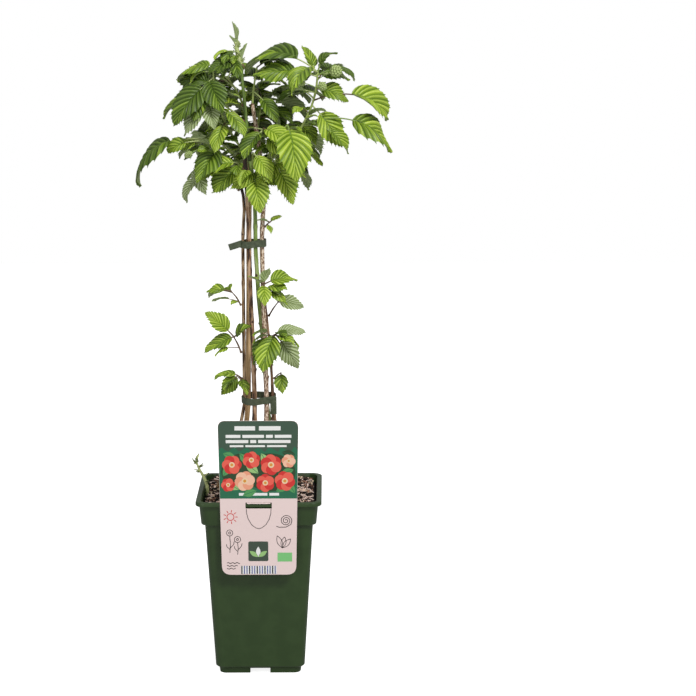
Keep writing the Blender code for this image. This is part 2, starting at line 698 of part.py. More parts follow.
def blade_point(blade, along, across, lift):
    """A point of a blade at shares of its length and half width, lifted off its middle surface."""
    turn = blade["droop"] * along
    ahead = blade["length"] * math.sin(turn) / blade["droop"]
    down = blade["length"] * (1 - math.cos(turn)) / blade["droop"]
    normal = blade["up"] * math.cos(turn) + blade["forward"] * math.sin(turn)
    side = blade["half_width"] * leaf_outline(along) * across
    fold = math.radians(LEAF_FOLD)
    return (blade["base"] + blade["forward"] * ahead - blade["up"] * down
            + blade["left"] * side * math.cos(fold) + normal * (abs(side) * math.sin(fold) + lift))


def blade_sheet(blade):
    """A blade's middle surface as points and faces, for testing clearances."""
    stations = (0.04, 0.2, 0.4, 0.6, 0.8, 0.97)
    points = [blade_point(blade, along, across, 0.0) for along in stations for across in (-1, 0, 1)]
    faces = []
    for row in range(len(stations) - 1):
        for column in range(2):
            first = row * 3 + column
            faces.append((first, first + 1, first + 4, first + 3))
    return points, faces


def tube_sheet(path, radius):
    """A three-sided tube as points and faces, for testing clearances."""
    points, faces = [], []
    for index, point in enumerate(path):
        ahead = (path[min(index + 1, len(path) - 1)] - path[max(index - 1, 0)]).normalized()
        side = ahead.orthogonal().normalized()
        for corner in range(3):
            points.append(point + Matrix.Rotation(math.tau * corner / 3, 3, ahead) @ side * radius)
    for row in range(len(path) - 1):
        for corner in range(3):
            a, b = row * 3 + corner, row * 3 + (corner + 1) % 3
            faces.append((a, b, b + 3, a + 3))
    return points, faces


class Crowd:
    """What is already in place, so that each new leaf can be kept clear of it."""

    def __init__(self):
        self.pieces = []

    def add(self, owner, kind, sheet):
        points, faces = sheet
        centre = sum(points, Vector()) / len(points)
        reach = max((point - centre).length for point in points)
        self.pieces.append((owner, kind, points, centre, reach, BVHTree.FromPolygons(points, faces)))

    def clear(self, owner, kind, sheet):
        """Whether a piece lies clear of everything that it may not touch."""
        points, faces = sheet
        centre = sum(points, Vector()) / len(points)
        reach = max((point - centre).length for point in points)
        tree = BVHTree.FromPolygons(points, faces)
        for other, other_kind, other_points, middle, size, other_tree in self.pieces:
            if other == owner and not (kind == "blade" and other_kind == "blade"):
                continue
            if (centre - middle).length > reach + size + LEAF_CLEARANCE:
                continue
            if tree.overlap(other_tree):
                return False
            if any(other_tree.find_nearest(point, LEAF_CLEARANCE)[0] for point in points):
                return False
            if any(tree.find_nearest(point, LEAF_CLEARANCE)[0] for point in other_points):
                return False
        return True


def leaf_parts(root, heading, rise, stalk, size, droop, roll, count):
    """A leaf's stalk, as a path, and its one or three leaflets. Sizes are in metres."""
    sag = STALK_SAG * stalk / MM / 2
    tilt = rise - sag
    path = limb_path(root, heading, (rise + sag, tilt), stalk, 2 if stalk < LONG_STALK else 3)
    hub = path[-1]
    if count == 1:
        blades = [leaflet(hub, heading, tilt, roll, 0.0, size, droop)]
    else:
        end = hub + direction(heading, tilt) * size * END_STALK_SHARE
        blades = [leaflet(end, heading, tilt, roll, 0.0, size, droop)]
        for spread in (SIDE_SPREAD, -SIDE_SPREAD):
            blades.append(leaflet(hub, heading, tilt, roll, spread, size * SIDE_SHARE, droop * 0.8))
    path.append(blade_point(blades[0], MIDRIB_SHARE, 0.0, 0.0))
    return path, blades


def leaf_choices(row):
    """A leaf as its row gives it, then turned a little, smaller, and with its end leaflet alone."""
    share, heading, rise, stalk, size, droop, roll = row[:7]
    single = size < SINGLE_LEAF_SIZE or row[7:] == (1,)
    for count, shrink in ((3, 1.0), (3, 0.85), (1, 1.0), (1, 0.8)):
        if count == 3 and single:
            continue
        for turn, climb in TURNS:
            yield heading + turn, rise + climb, stalk * MM, size * shrink * MM, droop, roll, count


def place_leaf(crowd, owner, lateral, row):
    """The first choice of a leaf that is clear of everything, or None where nothing fits."""
    root = along_path(lateral, row[0])
    for choice in leaf_choices(row):
        path, blades = leaf_parts(root, *choice)
        stalk = tube_sheet(path, STALK_RADII[0] * MM)
        if not crowd.clear(owner, "stalk", stalk):
            continue
        sheets = [blade_sheet(blade) for blade in blades]
        if all(crowd.clear(owner, "blade", sheet) for sheet in sheets):
            for sheet in sheets:
                crowd.add(owner, "blade", sheet)
            crowd.add(owner, "stalk", stalk)
            return path, blades
    return None


def lateral_start(mass, path, radii):
    """Where a mass's lateral leaves its cane: off the cane's tip, or off its side at a height."""
    radius = mass["radius"] * MM
    if mass["height"] is None:
        tip, before = path[-1], path[-2]
        return tip + (tip - before).normalized() * (GAP + START_SPARE)
    height = mass["height"] * MM
    index = next(i for i, point in enumerate(path) if point.z > height)
    low, high = path[index - 1], path[index]
    centre = low.lerp(high, (height - low.z) / (high.z - low.z))
    off = radii[index - 1] + GAP + START_SPARE + radius * abs(math.sin(math.radians(mass["rise"][0])))
    return centre + direction(mass["heading"], 0) * off


def seeded_rows(name, mass):
    """The leaves of a back lateral, dealt out round it by the golden angle."""
    rng = random.Random(f"{SEED} {name}")
    rows = []
    for index in range(BACK_LEAF_COUNT):
        share = BACK_FIRST_SHARE + (1 - BACK_FIRST_SHARE) * (index + 0.5) / BACK_LEAF_COUNT
        turn = (index * GOLDEN_ANGLE + 180) % 360 - 180
        heading = mass["heading"] + turn * BACK_SPREAD + rng.uniform(-BACK_JITTER, BACK_JITTER)
        rows.append((share, heading, rng.uniform(*BACK_LEAF_RISES), rng.uniform(*BACK_STALKS),
                     rng.uniform(*BACK_LEAF_SIZES), rng.uniform(*BACK_DROOPS),
                     rng.uniform(-BACK_ROLL, BACK_ROLL)))
    return rows[::-1]


def crowd_of_limbs(canes):
    """The canes and ties, which no leaf may touch."""
    crowd = Crowd()
    for name, (path, radii) in canes.items():
        crowd.add(name, "cane", tube_sheet(path, radii[0]))
    for name, tie in TIES.items():
        wider = dict(tie, radii=[half + TIE_CLEARANCE for half in tie["radii"]])
        ring = [tie_slot(wider, angle, -SLOT_CLEARANCE) for angle in range(0, 361, 20)]
        crowd.add(name, "tie", tube_sheet(ring, STRAP_HEIGHT * 0.6))
    return crowd


def grow():
    """Every mass's lateral, leaves and berries, each kept clear of the rest."""
    canes = {name: cane_path(cane) for name, cane in CANES.items()}
    crowd = crowd_of_limbs(canes)
    masses = dict(MASSES)
    for name, mass in BACK_MASSES.items():
        masses[name] = dict(mass, rise=BACK_RISE, radius=BACK_RADIUS, leaves=seeded_rows(name, mass))
    for name, mass in masses.items():
        path, radii = canes[mass["cane"]]
        start = lateral_start(mass, path, radii)
        length = mass["length"] * MM
        steps = max(2, min(6, round(length / LATERAL_STEP)))
        lateral = limb_path(start, mass["heading"], mass["rise"], length, steps)
        masses[name] = dict(mass, lateral=lateral, placed=[], fruit=[])
        crowd.add(name, "lateral", tube_sheet(lateral, mass["radius"] * MM))
    for name, mass in masses.items():
        for row in mass["leaves"]:
            leaf = place_leaf(crowd, name, mass["lateral"], row)
            if leaf:
                mass["placed"].append(leaf)
        for share, heading, rise, stalk, radius in mass.get("berries", []):
            root = along_path(mass["lateral"], share)
            path = limb_path(root, heading, (rise + BERRY_SAG, rise - BERRY_SAG), stalk * MM, 3)
            mass["fruit"].append((path, radius * MM))
    return masses


def blade_solid(name, blade, collection):
    """A thin leaflet with a fold along its middle, moulded from a coarse sphere."""
    bm = bmesh.new()
    bmesh.ops.create_uvsphere(bm, u_segments=4, v_segments=4, radius=1.0)
    half_thickness = blade["length"] * LEAF_THICKNESS / 2
    for vert in bm.verts:
        along = ((1 + vert.co.z) / 2) ** BLADE_SPREAD
        ring = Vector(vert.co.xy)
        across, depth = ring.normalized() if ring.length > 0.01 else (0.0, 0.0)
        vert.co = blade_point(blade, min(along, 0.9999), across, depth * half_thickness)
    bmesh.ops.recalc_face_normals(bm, faces=bm.faces)
    return mesh_object(name, bm, collection)


def berry_solid(name, path, radius, collection):
    """An unripe berry: a small blunt cone on the end of its stalk."""
    bm = bmesh.new()
    bmesh.ops.create_uvsphere(bm, u_segments=8, v_segments=6, radius=radius)
    ahead = (path[-1] - path[-2]).normalized()
    turn = Vector((0, 0, 1)).rotation_difference(ahead).to_matrix().to_4x4()
    seat = path[-1] + ahead * radius * BERRY_SEAT
    shape = Matrix.Translation(seat) @ turn @ Matrix.Diagonal((1.0, 1.0, BERRY_LENGTH, 1.0))
    bmesh.ops.transform(bm, matrix=shape, verts=bm.verts)
    return mesh_object(name, bm, collection)


def build_mass(name, mass, collection, profile, skin):
    """One lateral with its leaves and fruit, joined into one solid."""
    parts = new_collection(name + "_parts")
    radius = mass["radius"] * MM
    count = len(mass["lateral"])
    taper = [radius * (1 - LATERAL_TAPER * index / (count - 1)) for index in range(count)]
    curves = [curve_object(name, mass["lateral"], taper, collection, 6)]
    thick, thin = (value * MM for value in STALK_RADII)
    for path, _ in mass["placed"]:
        radii = [thick + (thin - thick) * index / (len(path) - 1) for index in range(len(path))]
        curves.append(curve_object("stalk", path, radii, parts, 3, profile))
    for path, _ in mass["fruit"]:
        curves.append(curve_object("stalk", path, [thin] * len(path), parts, 3, profile))
    made = curves_to_meshes(curves)
    for _, blades in mass["placed"]:
        for blade in blades:
            blade_solid("blade", blade, parts)
    for path, size in mass["fruit"]:
        berry_solid("berry", path, size, parts)
    boolean(made[0], "UNION", parts)
    discard(list(parts.objects))
    bpy.data.collections.remove(parts)
    made[0].data.materials.clear()
    made[0].data.materials.append(skin)


def build_sprout(collection, skin):
    """The pale new shoot that comes up inside the pot's front left corner."""
    parts = new_collection("sprout_parts")
    base = Vector((0, 0, COMPOST_TOP + GAP))
    path = smooth_path([Vector(point) * MM + base for point in SPROUT], 3)
    path[1].xy = path[0].xy
    last = len(path) - 1
    radii = [SPROUT_RADIUS * MM * (1 - SPROUT_TAPER * index / last) for index in range(len(path))]
    made = curves_to_meshes([curve_object("sprout", path, radii, collection, 6)])[0]
    for share, heading, rise, size in SPROUT_LEAVES:
        root = along_path(path, share)
        blade_solid("bract", leaflet(root, heading, rise, 0.0, 0.0, size * MM, BRACT_DROOP), parts)
    boolean(made, "UNION", parts)
    discard(list(parts.objects))
    bpy.data.collections.remove(parts)
    made.data.materials.clear()
    made.data.materials.append(skin)


def main():
    clear_scene()
    plant = new_collection("potted_raspberry")
    cutters = new_collection("cutters")
    brown = material("brown_bark", (0.16, 0.085, 0.055), 0.75)
    tan = material("tan_bark", (0.42, 0.30, 0.17), 0.7)
    green = material("green_bark", (0.17, 0.24, 0.12), 0.6)
    leaf = material("leaf_green", (0.11, 0.24, 0.035), 0.55)
    pot_green = material("pot_green", (0.020, 0.055, 0.022), 0.4)
    build_pot(plant, cutters, pot_green)
    build_compost(plant, material("compost_brown", (0.045, 0.028, 0.02), 0.95))
    skins = dict.fromkeys(CANES, brown)
    skins.update(cane_2=tan, cane_4=green, cane_5=tan)
    build_canes(plant, skins)
    strap = material("strap_green", (0.05, 0.075, 0.05), 0.5)
    for name, tie in TIES.items():
        build_tie(name, tie, plant, cutters, strap)
    build_label(plant, cutters, material("label_card", (0.75, 0.62, 0.60), 0.35))
    profile = three_sided_profile(cutters)
    for name, mass in grow().items():
        build_mass(name, mass, plant, profile, leaf)
    discard([profile])
    build_sprout(plant, material("sprout_green", (0.25, 0.34, 0.14), 0.6))
    bpy.data.collections.remove(cutters)


main()
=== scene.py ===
"""The looks of a potted raspberry plant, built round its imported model.

The plant grows here by the rule and from the named sizes of its solids, and is carried finer:
toothed and pleated leaflets with their veins, bark, prickles, buds and unripe berries. The pot,
its compost with wood fibre, the ties and the printed label are finer meshes in their own places.
Metres, +Z up, -Y is the front.
"""

import json
import math
import random

import bmesh
import bpy
import numpy as np
from mathutils import Matrix, Vector, noise
from mathutils.bvhtree import BVHTree
from mathutils.geometry import tessellate_polygon

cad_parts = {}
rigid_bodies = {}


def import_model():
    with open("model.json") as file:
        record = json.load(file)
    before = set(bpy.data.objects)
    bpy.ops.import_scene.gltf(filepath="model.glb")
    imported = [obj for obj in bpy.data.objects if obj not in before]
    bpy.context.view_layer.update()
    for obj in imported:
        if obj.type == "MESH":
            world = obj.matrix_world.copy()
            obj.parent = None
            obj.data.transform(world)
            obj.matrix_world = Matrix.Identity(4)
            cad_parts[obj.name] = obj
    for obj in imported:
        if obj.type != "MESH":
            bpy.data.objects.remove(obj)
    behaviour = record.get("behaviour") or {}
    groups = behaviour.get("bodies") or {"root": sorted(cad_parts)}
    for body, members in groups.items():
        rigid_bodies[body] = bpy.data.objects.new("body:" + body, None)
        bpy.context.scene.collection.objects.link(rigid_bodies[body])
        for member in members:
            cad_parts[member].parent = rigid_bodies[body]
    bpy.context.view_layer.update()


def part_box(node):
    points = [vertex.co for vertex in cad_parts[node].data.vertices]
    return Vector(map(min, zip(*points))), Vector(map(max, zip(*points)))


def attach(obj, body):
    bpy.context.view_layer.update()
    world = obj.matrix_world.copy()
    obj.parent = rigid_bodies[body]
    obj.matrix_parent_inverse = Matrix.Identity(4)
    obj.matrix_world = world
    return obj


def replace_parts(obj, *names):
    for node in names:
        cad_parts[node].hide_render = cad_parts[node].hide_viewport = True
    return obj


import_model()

# Camera, fitted to the pot's edges in the photograph, whose frame is square
CAMERA_DISTANCE = 2.0738
CAMERA_HEIGHT = 0.7242
CAMERA_AZIMUTH = 1.998
CAMERA_TILT = 10.505
CAMERA_PAN = -2.563
FRAME_PIXELS = 696
FOCAL_PIXELS = 2019.4
SENSOR_WIDTH = 36.0

MM = 0.001
GAP = 0.0003

# Mottled finishes: where their tones start and end in the noise, and how deep their bumps are
MOTTLE_START = 0.40
MOTTLE_RANGE = 0.20
BUMP_DEPTH = 0.0004

# Pot
POT_HEIGHT = 0.190
RIM_WIDTH = 0.130
RIM_DEPTH = 0.0045
COLLAR_TOP_WIDTH = 0.1227
COLLAR_FOOT_WIDTH = 0.1193
COLLAR_FOOT_Z = 0.1645
BODY_TOP_WIDTH = 0.112
BODY_FOOT_WIDTH = 0.0935
FOOT_WIDTH = 0.0852
FOOT_HEIGHT = 0.0055
FOOT_FLARE = 0.001
FOOT_SHOULDER = 0.003
FOOT_WALL = 0.004
FOOT_GAP = 0.021
FOOT_GAP_START = 0.021
CENTRE_FOOT_RADIUS = 0.009
WALL = 0.0016
FLOOR_THICKNESS = 0.002
INNER_STEP_Z = COLLAR_FOOT_Z + 2 * WALL
CORNER_RADIUS = 0.010
DRAIN_RADIUS = 0.0045
DRAIN_OFFSET = 0.021
CUT_SPARE = 0.001

# Compost
COMPOST_TOP = 0.181
COMPOST_EDGE_DROP = 0.0015

# Canes, in millimetres. A cane stands at its foot, passes each tie in the slot at the angle
# given, or misses that tie where it has none, and then follows its points through the crown.
CANES = {
    "cane_1": dict(radius=(1.9, 1.6), foot=(-46, 10), slots=(180, 180),
                   crown=[(-15, -2, 500), (-22, -4, 524)]),
    "cane_2": dict(radius=(2.8, 2.6), foot=(-28, 22), slots=(142, 118), crown=[(-7, 9, 538)]),
    "cane_3": dict(radius=(2.5, 2.1), foot=(-7, -8), slots=(-105, -112),
                   crown=[(-11, -6, 505), (-14, -5, 556)]),
    "cane_4": dict(radius=(2.8, 1.6), foot=(25, 24), slots=(55, -72),
                   crown=[(-3, -6, 490), (-9, -2, 548), (-13, 0, 597), (-16, 0, 630)]),
    "cane_5": dict(radius=(2.7, 2.0), foot=(3, -17), slots=(-52, -12),
                   crown=[(6, -1, 500), (3, 1, 538), (-1, 3, 566), (-5, 5, 592)]),
    "cane_6": dict(radius=(1.4, 1.0), foot=(20, 10), slots=(26, None), crown=[(12, 7, 331)]),
    "cane_7": dict(radius=(1.6, 1.1), foot=(33, 3), slots=(-4, 38), crown=[(5, 6, 490), (9, 9, 532)]),
}
CANE_STEPS = 3
CANE_STRAIGHT_FOOT = 0.006

# Ties: flat straps round the canes
STRAP_HEIGHT = 0.008
STRAP_THICKNESS = 0.0009
SLOT_CLEARANCE = 0.0005
SLOT_RUN = 0.0055
TAIL_WIDTH = 0.0067
TIES = {
    "tie_lower": dict(z=0.2865, centre=(-0.001, 0.0), radii=(0.0172, 0.0165), tail=(-32, 0.0, 0.015)),
    "tie_upper": dict(z=0.4500, centre=(-0.0055, 0.0), radii=(0.0128, 0.0104), tail=(-158, 72.0, 0.012)),
}

# Label
LABEL_TOP_WIDTH = 0.0825
LABEL_FOOT_WIDTH = 0.0763
LABEL_TOP_Z = 0.2770
LABEL_FOOT_Z = 0.1145
LABEL_THICKNESS = 0.0008
LABEL_CORNERS = (0.0095, 0.0075)
LABEL_WINDOW_WIDTH = 0.027
LABEL_WINDOW_Z = (0.1848, 0.1912)
LABEL_OFFSET_X = 0.0005
LABEL_LEG_FOOT_Z = 0.1825
LABEL_TAB_CLEARANCE = 0.0015

# Leaves, laterals and berries. Angles are in degrees and lengths in metres, apart from a stalk's
# radius and the size below which a leaf is single, which are in millimetres as in the tables.
LEAF_ASPECT = 0.70
LEAF_FOLD = 16.0
OUTLINE_POWERS = (0.72, 0.90)
STALK_RADIUS = 0.9
STALK_SAG = 0.75
LONG_STALK = 0.025
SIDE_SPREAD = 66.0
SIDE_SHARE = 0.80
END_STALK_SHARE = 0.20
MIDRIB_SHARE = 0.08
SINGLE_LEAF_SIZE = 27
LEAF_TRIES = ((3, 1.0), (3, 0.85), (1, 1.0), (1, 0.8))
SHEET_STATIONS = (0.04, 0.2, 0.4, 0.6, 0.8, 0.97)
LEAF_CLEARANCE = 0.0011
TIE_CLEARANCE = 0.001
LATERAL_TAPER = 0.35
LATERAL_STEP = 0.012
START_SPARE = 0.0002
BERRY_SAG = 10
BERRY_SEAT = 0.7
SEED = 7

# How a leaf that finds no room is turned, in heading and rise, before it is made smaller.
TURNS = [(0, 0), (7, 0), (-7, 0), (0, 8), (0, -8), (14, 4), (-14, 4), (14, -8), (-14, -8), (22, 0),
         (-22, 0), (0, 18), (0, -20), (30, 8), (-30, 8), (30, -14), (-30, -14), (42, 0), (-42, 0)]

# Foliage, in millimetres and degrees. Each mass has one lateral, which leaves its cane at a
# height and a heading, climbs at the first rise at its foot and the second at its tip, and
# carries the leaves listed: share of the way along, heading and rise of the stalk, length
# of the stalk, length of the end leaflet, how far the blade bends down, its roll, and, where
# it is given, the number of leaflets, which is 1 or 3.
# A berry has its stalk's share, heading, rise and length, and the radius of the fruit.
MASSES = {
    "foliage_front": dict(
        cane="cane_4", height=522, heading=-82, rise=(66, 62), length=26, radius=1.1,
        leaves=[
            (1.00, -44, -34, 6, 32, 40, 24, 1),
            (0.25, -70, -52, 6, 36, 26, 6, 3)]),
    "foliage_front_left": dict(
        cane="cane_3", height=528, heading=-150, rise=(56, 40), length=9, radius=1.1,
        leaves=[
            (1.00, -172, -4, 4, 42, 56, -30, 1),
            (0.35, -172, -34, 5, 36, 30, -46, 1)]),
    "foliage_front_right": dict(
        cane="cane_5", height=530, heading=-35, rise=(66, 46), length=53, radius=1.2,
        leaves=[
            (1.00, -72, -40, 9, 56, 46, 0, 1),
            (0.26, -34, -50, 12, 38, 26, 30, 3)]),
    "foliage_tip": dict(
        cane="cane_4", height=None, heading=180, rise=(74, 84), length=26, radius=1.3,
        leaves=[
            (0.98, 174, 86, 1, 20, 10, 0),
            (0.94, 14, 76, 1, 14, 14, 0),
            (0.80, 200, 72, 1, 13, 16, 0),
            (0.12, -10, 76, 2, 20, 8, 0),
            (0.30, 206, -10, 5, 28, 40, -40),
            (0.20, 234, -30, 5, 20, 40, 0)]),
    "foliage_upper_left": dict(
        cane="cane_3", height=550, heading=190, rise=(52, 92), length=89, radius=1.3,
        leaves=[
            (1.00, 186, 4, 3, 41, 64, -24, 1),
            (0.86, 216, -36, 6, 49, 30, -35, 3),
            (0.70, 176, -8, 12, 45, 52, -30, 3),
            (0.56, 206, -2, 10, 34, 60, -24, 3),
            (0.33, -112, -30, 6, 34, 40, 0, 1),
            (0.50, -38, -20, 10, 34, 50, 0, 1),
            (0.84, 170, 14, 24, 26, 66, -30, 1)]),
    "foliage_left": dict(
        cane="cane_1", height=506, heading=186, rise=(72, 52), length=56, radius=1.1,
        leaves=[
            (1.00, 184, 1, 43, 64, 82, -14, 1),
            (1.00, 192, 0, 27, 24, 60, -50, 1),
            (0.98, 172, 0, 17, 24, 56, -50, 1),
            (0.55, 204, -20, 31, 27, 62, -30, 3),
            (0.84, -120, -50, 3, 44, 24, -20, 1),
            (0.70, 150, 16, 20, 36, 60, 0, 3)],
        berries=[(0.95, 194, -20, 26, 4.0)]),
    "foliage_right_upper": dict(
        cane="cane_5", height=533, heading=-8, rise=(30, 88), length=113, radius=1.5,
        leaves=[
            (1.00, 178, 32, 25, 66, 84, -15, 1),
            (1.00, -125, 12, 12, 46, 84, 0, 1),
            (0.95, 130, 62, 12, 27, 14, 0, 1),
            (1.00, -6, 74, 8, 24, 88, 30, 1),
            (0.50, -6, 6, 52, 57, 68, 38, 1),
            (0.55, -16, -22, 28, 31, 44, 26, 1),
            (0.74, 3, 9, 40, 52, 70, 34, 1),
            (0.97, -8, 24, 14, 30, 84, 0, 1),
            (0.85, -14, -4, 5, 32, 60, 44, 1),
            (0.70, -8, -46, 12, 42, 24, 66, 1),
            (0.96, 184, 14, 22, 44, 24, -24, 1),
            (0.92, 64, 30, 12, 38, 60, 0, 3),
            (0.76, 118, 20, 16, 42, 60, 0, 3)],
        berries=[(0.93, -30, 24, 20, 6.0), (0.86, -64, 10, 11, 4.6), (0.86, 196, 20, 14, 4.2)]),
    "foliage_centre_upper": dict(
        cane="cane_5", height=None, heading=20, rise=(86, 78), length=38, radius=1.2,
        leaves=[
            (1.00, 6, 44, 6, 46, 84, 0, 3),
            (0.86, 160, 30, 8, 40, 74, 0, 3),
            (0.35, -44, -30, 14, 31, 40, 20, 1),
            (0.62, 84, 30, 12, 46, 62, 0, 3)]),
    "foliage_centre": dict(
        cane="cane_5", height=556, heading=-66, rise=(62, 40), length=17, radius=1.1,
        leaves=[
            (1.00, -14, 6, 5, 42, 50, 30, 1),
            (0.80, -134, -30, 4, 34, 36, -10, 1),
            (0.50, -10, -34, 10, 34, 36, 44, 1)]),
    "foliage_crown_left": dict(
        cane="cane_4", height=576, heading=200, rise=(48, 30), length=26, radius=1.2,
        leaves=[
            (1.00, 222, -30, 8, 38, 40, -20, 1),
            (0.75, 128, 26, 12, 42, 58, 0, 3)]),
    "foliage_right": dict(
        cane="cane_7", height=None, heading=16, rise=(74, 40), length=40, radius=1.1,
        leaves=[
            (1.00, 8, 16, 14, 40, 66, 15, 3),
            (0.70, -50, 14, 12, 33, 78, 0, 3),
            (0.80, 74, 18, 18, 42, 58, 0, 3)]),
    "foliage_stem": dict(
        cane="cane_5", height=468, heading=-30, rise=(50, 30), length=7, radius=0.8,
        leaves=[
            (1.00, 10, 40, 2, 13, 40, 30, 1),
            (1.00, -150, 30, 2, 13, 40, 0, 1),
            (0.50, -60, -30, 2, 11, 30, 0, 1)]),
    "foliage_mid_left_upper": dict(
        cane="cane_1", height=386, heading=190, rise=(68, 44), length=17, radius=0.9,
        leaves=[
            (1.00, 186, 14, 7, 20, 50, -40, 1),
            (1.00, 120, 30, 2, 16, 60, -50, 1),
            (0.20, -130, 10, 2, 11, 40, 0, 1)]),
    "foliage_mid_left": dict(
        cane="cane_1", height=336, heading=196, rise=(72, 58), length=19, radius=1.0,
        leaves=[
            (1.00, 186, 48, 8, 31, 26, -62, 1),
            (0.96, 188, -20, 2, 33, 22, -34, 1),
            (0.93, -28, 34, 4, 22, 20, 58, 1)]),
    "foliage_mid_left_lower": dict(
        cane="cane_1", height=308, heading=204, rise=(50, 30), length=6, radius=0.9,
        leaves=[
            (1.00, 184, 18, 2, 24, 60, -14, 1),
            (0.90, 206, -34, 2, 25, 30, -56, 1),
            (0.80, -58, -36, 6, 19, 20, 0, 1)]),
    "foliage_mid_front": dict(
        cane="cane_4", height=394, heading=-66, rise=(62, 50), length=19, radius=0.9,
        leaves=[
            (1.00, -82, -40, 3, 23, 30, 0, 1),
            (1.00, -50, 66, 2, 19, 10, 0, 1),
            (0.95, -160, 40, 3, 16, 20, 0, 1),
            (0.96, 2, 34, 8, 31, 64, 44, 1)]),
    "foliage_mid_right_upper": dict(
        cane="cane_7", height=374, heading=4, rise=(62, 50), length=17, radius=0.9,
        leaves=[
            (1.00, -12, 0, 2, 26, 44, 56, 1),
            (1.00, 110, 70, 2, 15, 10, 0, 1)]),
    "foliage_mid_right": dict(
        cane="cane_5", height=350, heading=-38, rise=(50, 20), length=13, radius=1.0,
        leaves=[
            (0.95, -118, -34, 3, 42, 40, -6, 1),
            (1.00, -2, 24, 3, 29, 50, 30, 1),
            (1.00, -14, -50, 9, 34, 16, 66, 1),
            (0.50, -150, -40, 4, 31, 36, -20, 1)]),
    "foliage_mid_right_lower": dict(
        cane="cane_7", height=308, heading=10, rise=(48, 30), length=9, radius=0.8,
        leaves=[
            (1.00, -84, -58, 2, 21, 20, 20, 1)]),
}

# The back and the inside of the crown: a lateral for each heading, with leaves dealt out in turn.
BACK_MASSES = {
    "foliage_back_left": dict(cane="cane_2", height=516, heading=132, length=46),
    "foliage_back": dict(cane="cane_2", height=None, heading=98, length=58),
    "foliage_back_right": dict(cane="cane_7", height=512, heading=62, length=46),
    "foliage_back_upper": dict(cane="cane_5", height=566, heading=80, length=54),
    "foliage_back_upper_left": dict(cane="cane_4", height=592, heading=128, length=46),
}
BACK_RISE = (60, 20)
BACK_RADIUS = 1.2
BACK_LEAF_COUNT = 6
BACK_FIRST_SHARE = 0.3
BACK_LEAF_SIZES = (38, 50)
BACK_STALKS = (10, 24)
BACK_LEAF_RISES = (4, 30)
BACK_DROOPS = (55, 80)
BACK_SPREAD = 0.33
BACK_JITTER = 8
BACK_ROLL = 12
GOLDEN_ANGLE = 137.5

# The shoot that comes up beside the canes, in millimetres from the compost, and its bracts:
# share of the way up, heading, rise and length.
SPROUT = [(-55.5, -2, 0), (-56, -2, 11), (-60, -2, 22), (-65, -3, 32), (-67, -3, 39)]
SPROUT_RADIUS = 1.9
SPROUT_TAPER = 0.5
SPROUT_LEAVES = [(0.36, -60, 35, 9), (0.48, 30, 40, 9), (0.60, 200, 35, 10), (0.72, -20, 55, 11),
                 (0.82, 170, 60, 12), (0.92, -80, 62, 11), (0.98, 80, 70, 11)]
BRACT_DROOP = 25

# Fine leaves. A leaflet has rows of points that run along its side veins from the midrib to the
# margin, several rows to each vein, and the teeth stand where the rows end.
VEINS = 10
FEW_VEINS = 7
SMALL_LEAFLET = 0.024
ROW_PHASES = (0.0, 0.13, 0.40, 0.66, 0.88)
ROW_BULGE = (0.0, 0.50, 1.0, 0.90, 0.42)
ROW_TEETH = (1.0, 0.0, -0.30, 0.25, 0.1)
# The strip colour of each row: a painted shade in the valley at each vein, the blade's own colour, and a
# painted highlight on the ridge between veins.
ROW_TONES_WITH_PAINTED_LIGHT = ("vein", "leaf", "light", "leaf", "vein")
COLUMNS = (0.0, 0.05, 0.28, 0.56, 0.82, 1.0)
COLUMN_BULGE = (0.0, 0.30, 0.95, 1.0, 0.75, 0.45)
COLUMN_TEETH = (0.0, 0.0, 0.0, 0.0, 0.18, 1.0)
VEIN_START_POWER = 1.40
VEIN_END_POWER = 1.95
TIP_TAPER = 0.34
TIP_REACH = 1.02
PLEAT = 0.046
PLEAT_FLOOR = 0.35
TOOTH = 0.060
TOOTH_FADE = 2.2
TOOTH_SIZES = (0.85, 1.15)
TOOTH_OUT = 0.72
TOOTH_AHEAD = 0.70
EDGE_WAVE = 0.046
EDGE_WAVES = 1.4
BLADE_THICKNESS = 0.00028
VEIN_RIDGE = 0.00030
VEIN_REACH = 0.9
BLADE_FOLD = (14, 36)
YOUNG_FOLD = (40, 60)
EDGE_FOLD = (-30, 14)
BLADE_TWIST = 26
BLADE_BEND = 0.05
DROOP_POWER = 1.05
YOUNG_WIDTH = 0.62
BASE_DARKER = 0.75
BASE_DARKER_POWER = 1.5
TIP_LIGHTER = 0.35

CORNER_POINTS = 8
CORNER_STEPS = 10

# The tints of each mass's leaves in the order of its rows, as places in the list of tints. Each
# tint has a painted shade for its vein valleys, its blade colour and a painted highlight for its ridges, and
# the underside comes after them.
TINTS = ["bright", "fresh", "mid", "deep", "pale"]
# Painted shade at the veins, the blade's own colour, and a painted highlight on the ridges.
STRIP_TONES_WITH_PAINTED_LIGHT = ["vein", "leaf", "light"]
UNDER = len(TINTS) * len(STRIP_TONES_WITH_PAINTED_LIGHT)
PALE = 4
# Each row: painted valley shade, blade colour, painted ridge highlight.
LEAF_TONES_WITH_PAINTED_LIGHT = [[(0.175, 0.290, 0.016), (0.345, 0.485, 0.034), (0.520, 0.650, 0.105)],
              [(0.108, 0.196, 0.012), (0.238, 0.362, 0.024), (0.395, 0.520, 0.075)],
              [(0.078, 0.142, 0.009), (0.150, 0.245, 0.018), (0.245, 0.358, 0.046)],
              [(0.040, 0.078, 0.006), (0.076, 0.135, 0.012), (0.132, 0.210, 0.031)],
              [(0.200, 0.270, 0.080), (0.350, 0.430, 0.190), (0.520, 0.600, 0.340)]]
UNDER_TONES = dict(leaf_under=(0.31, 0.40, 0.16), vein_under=(0.46, 0.55, 0.26))
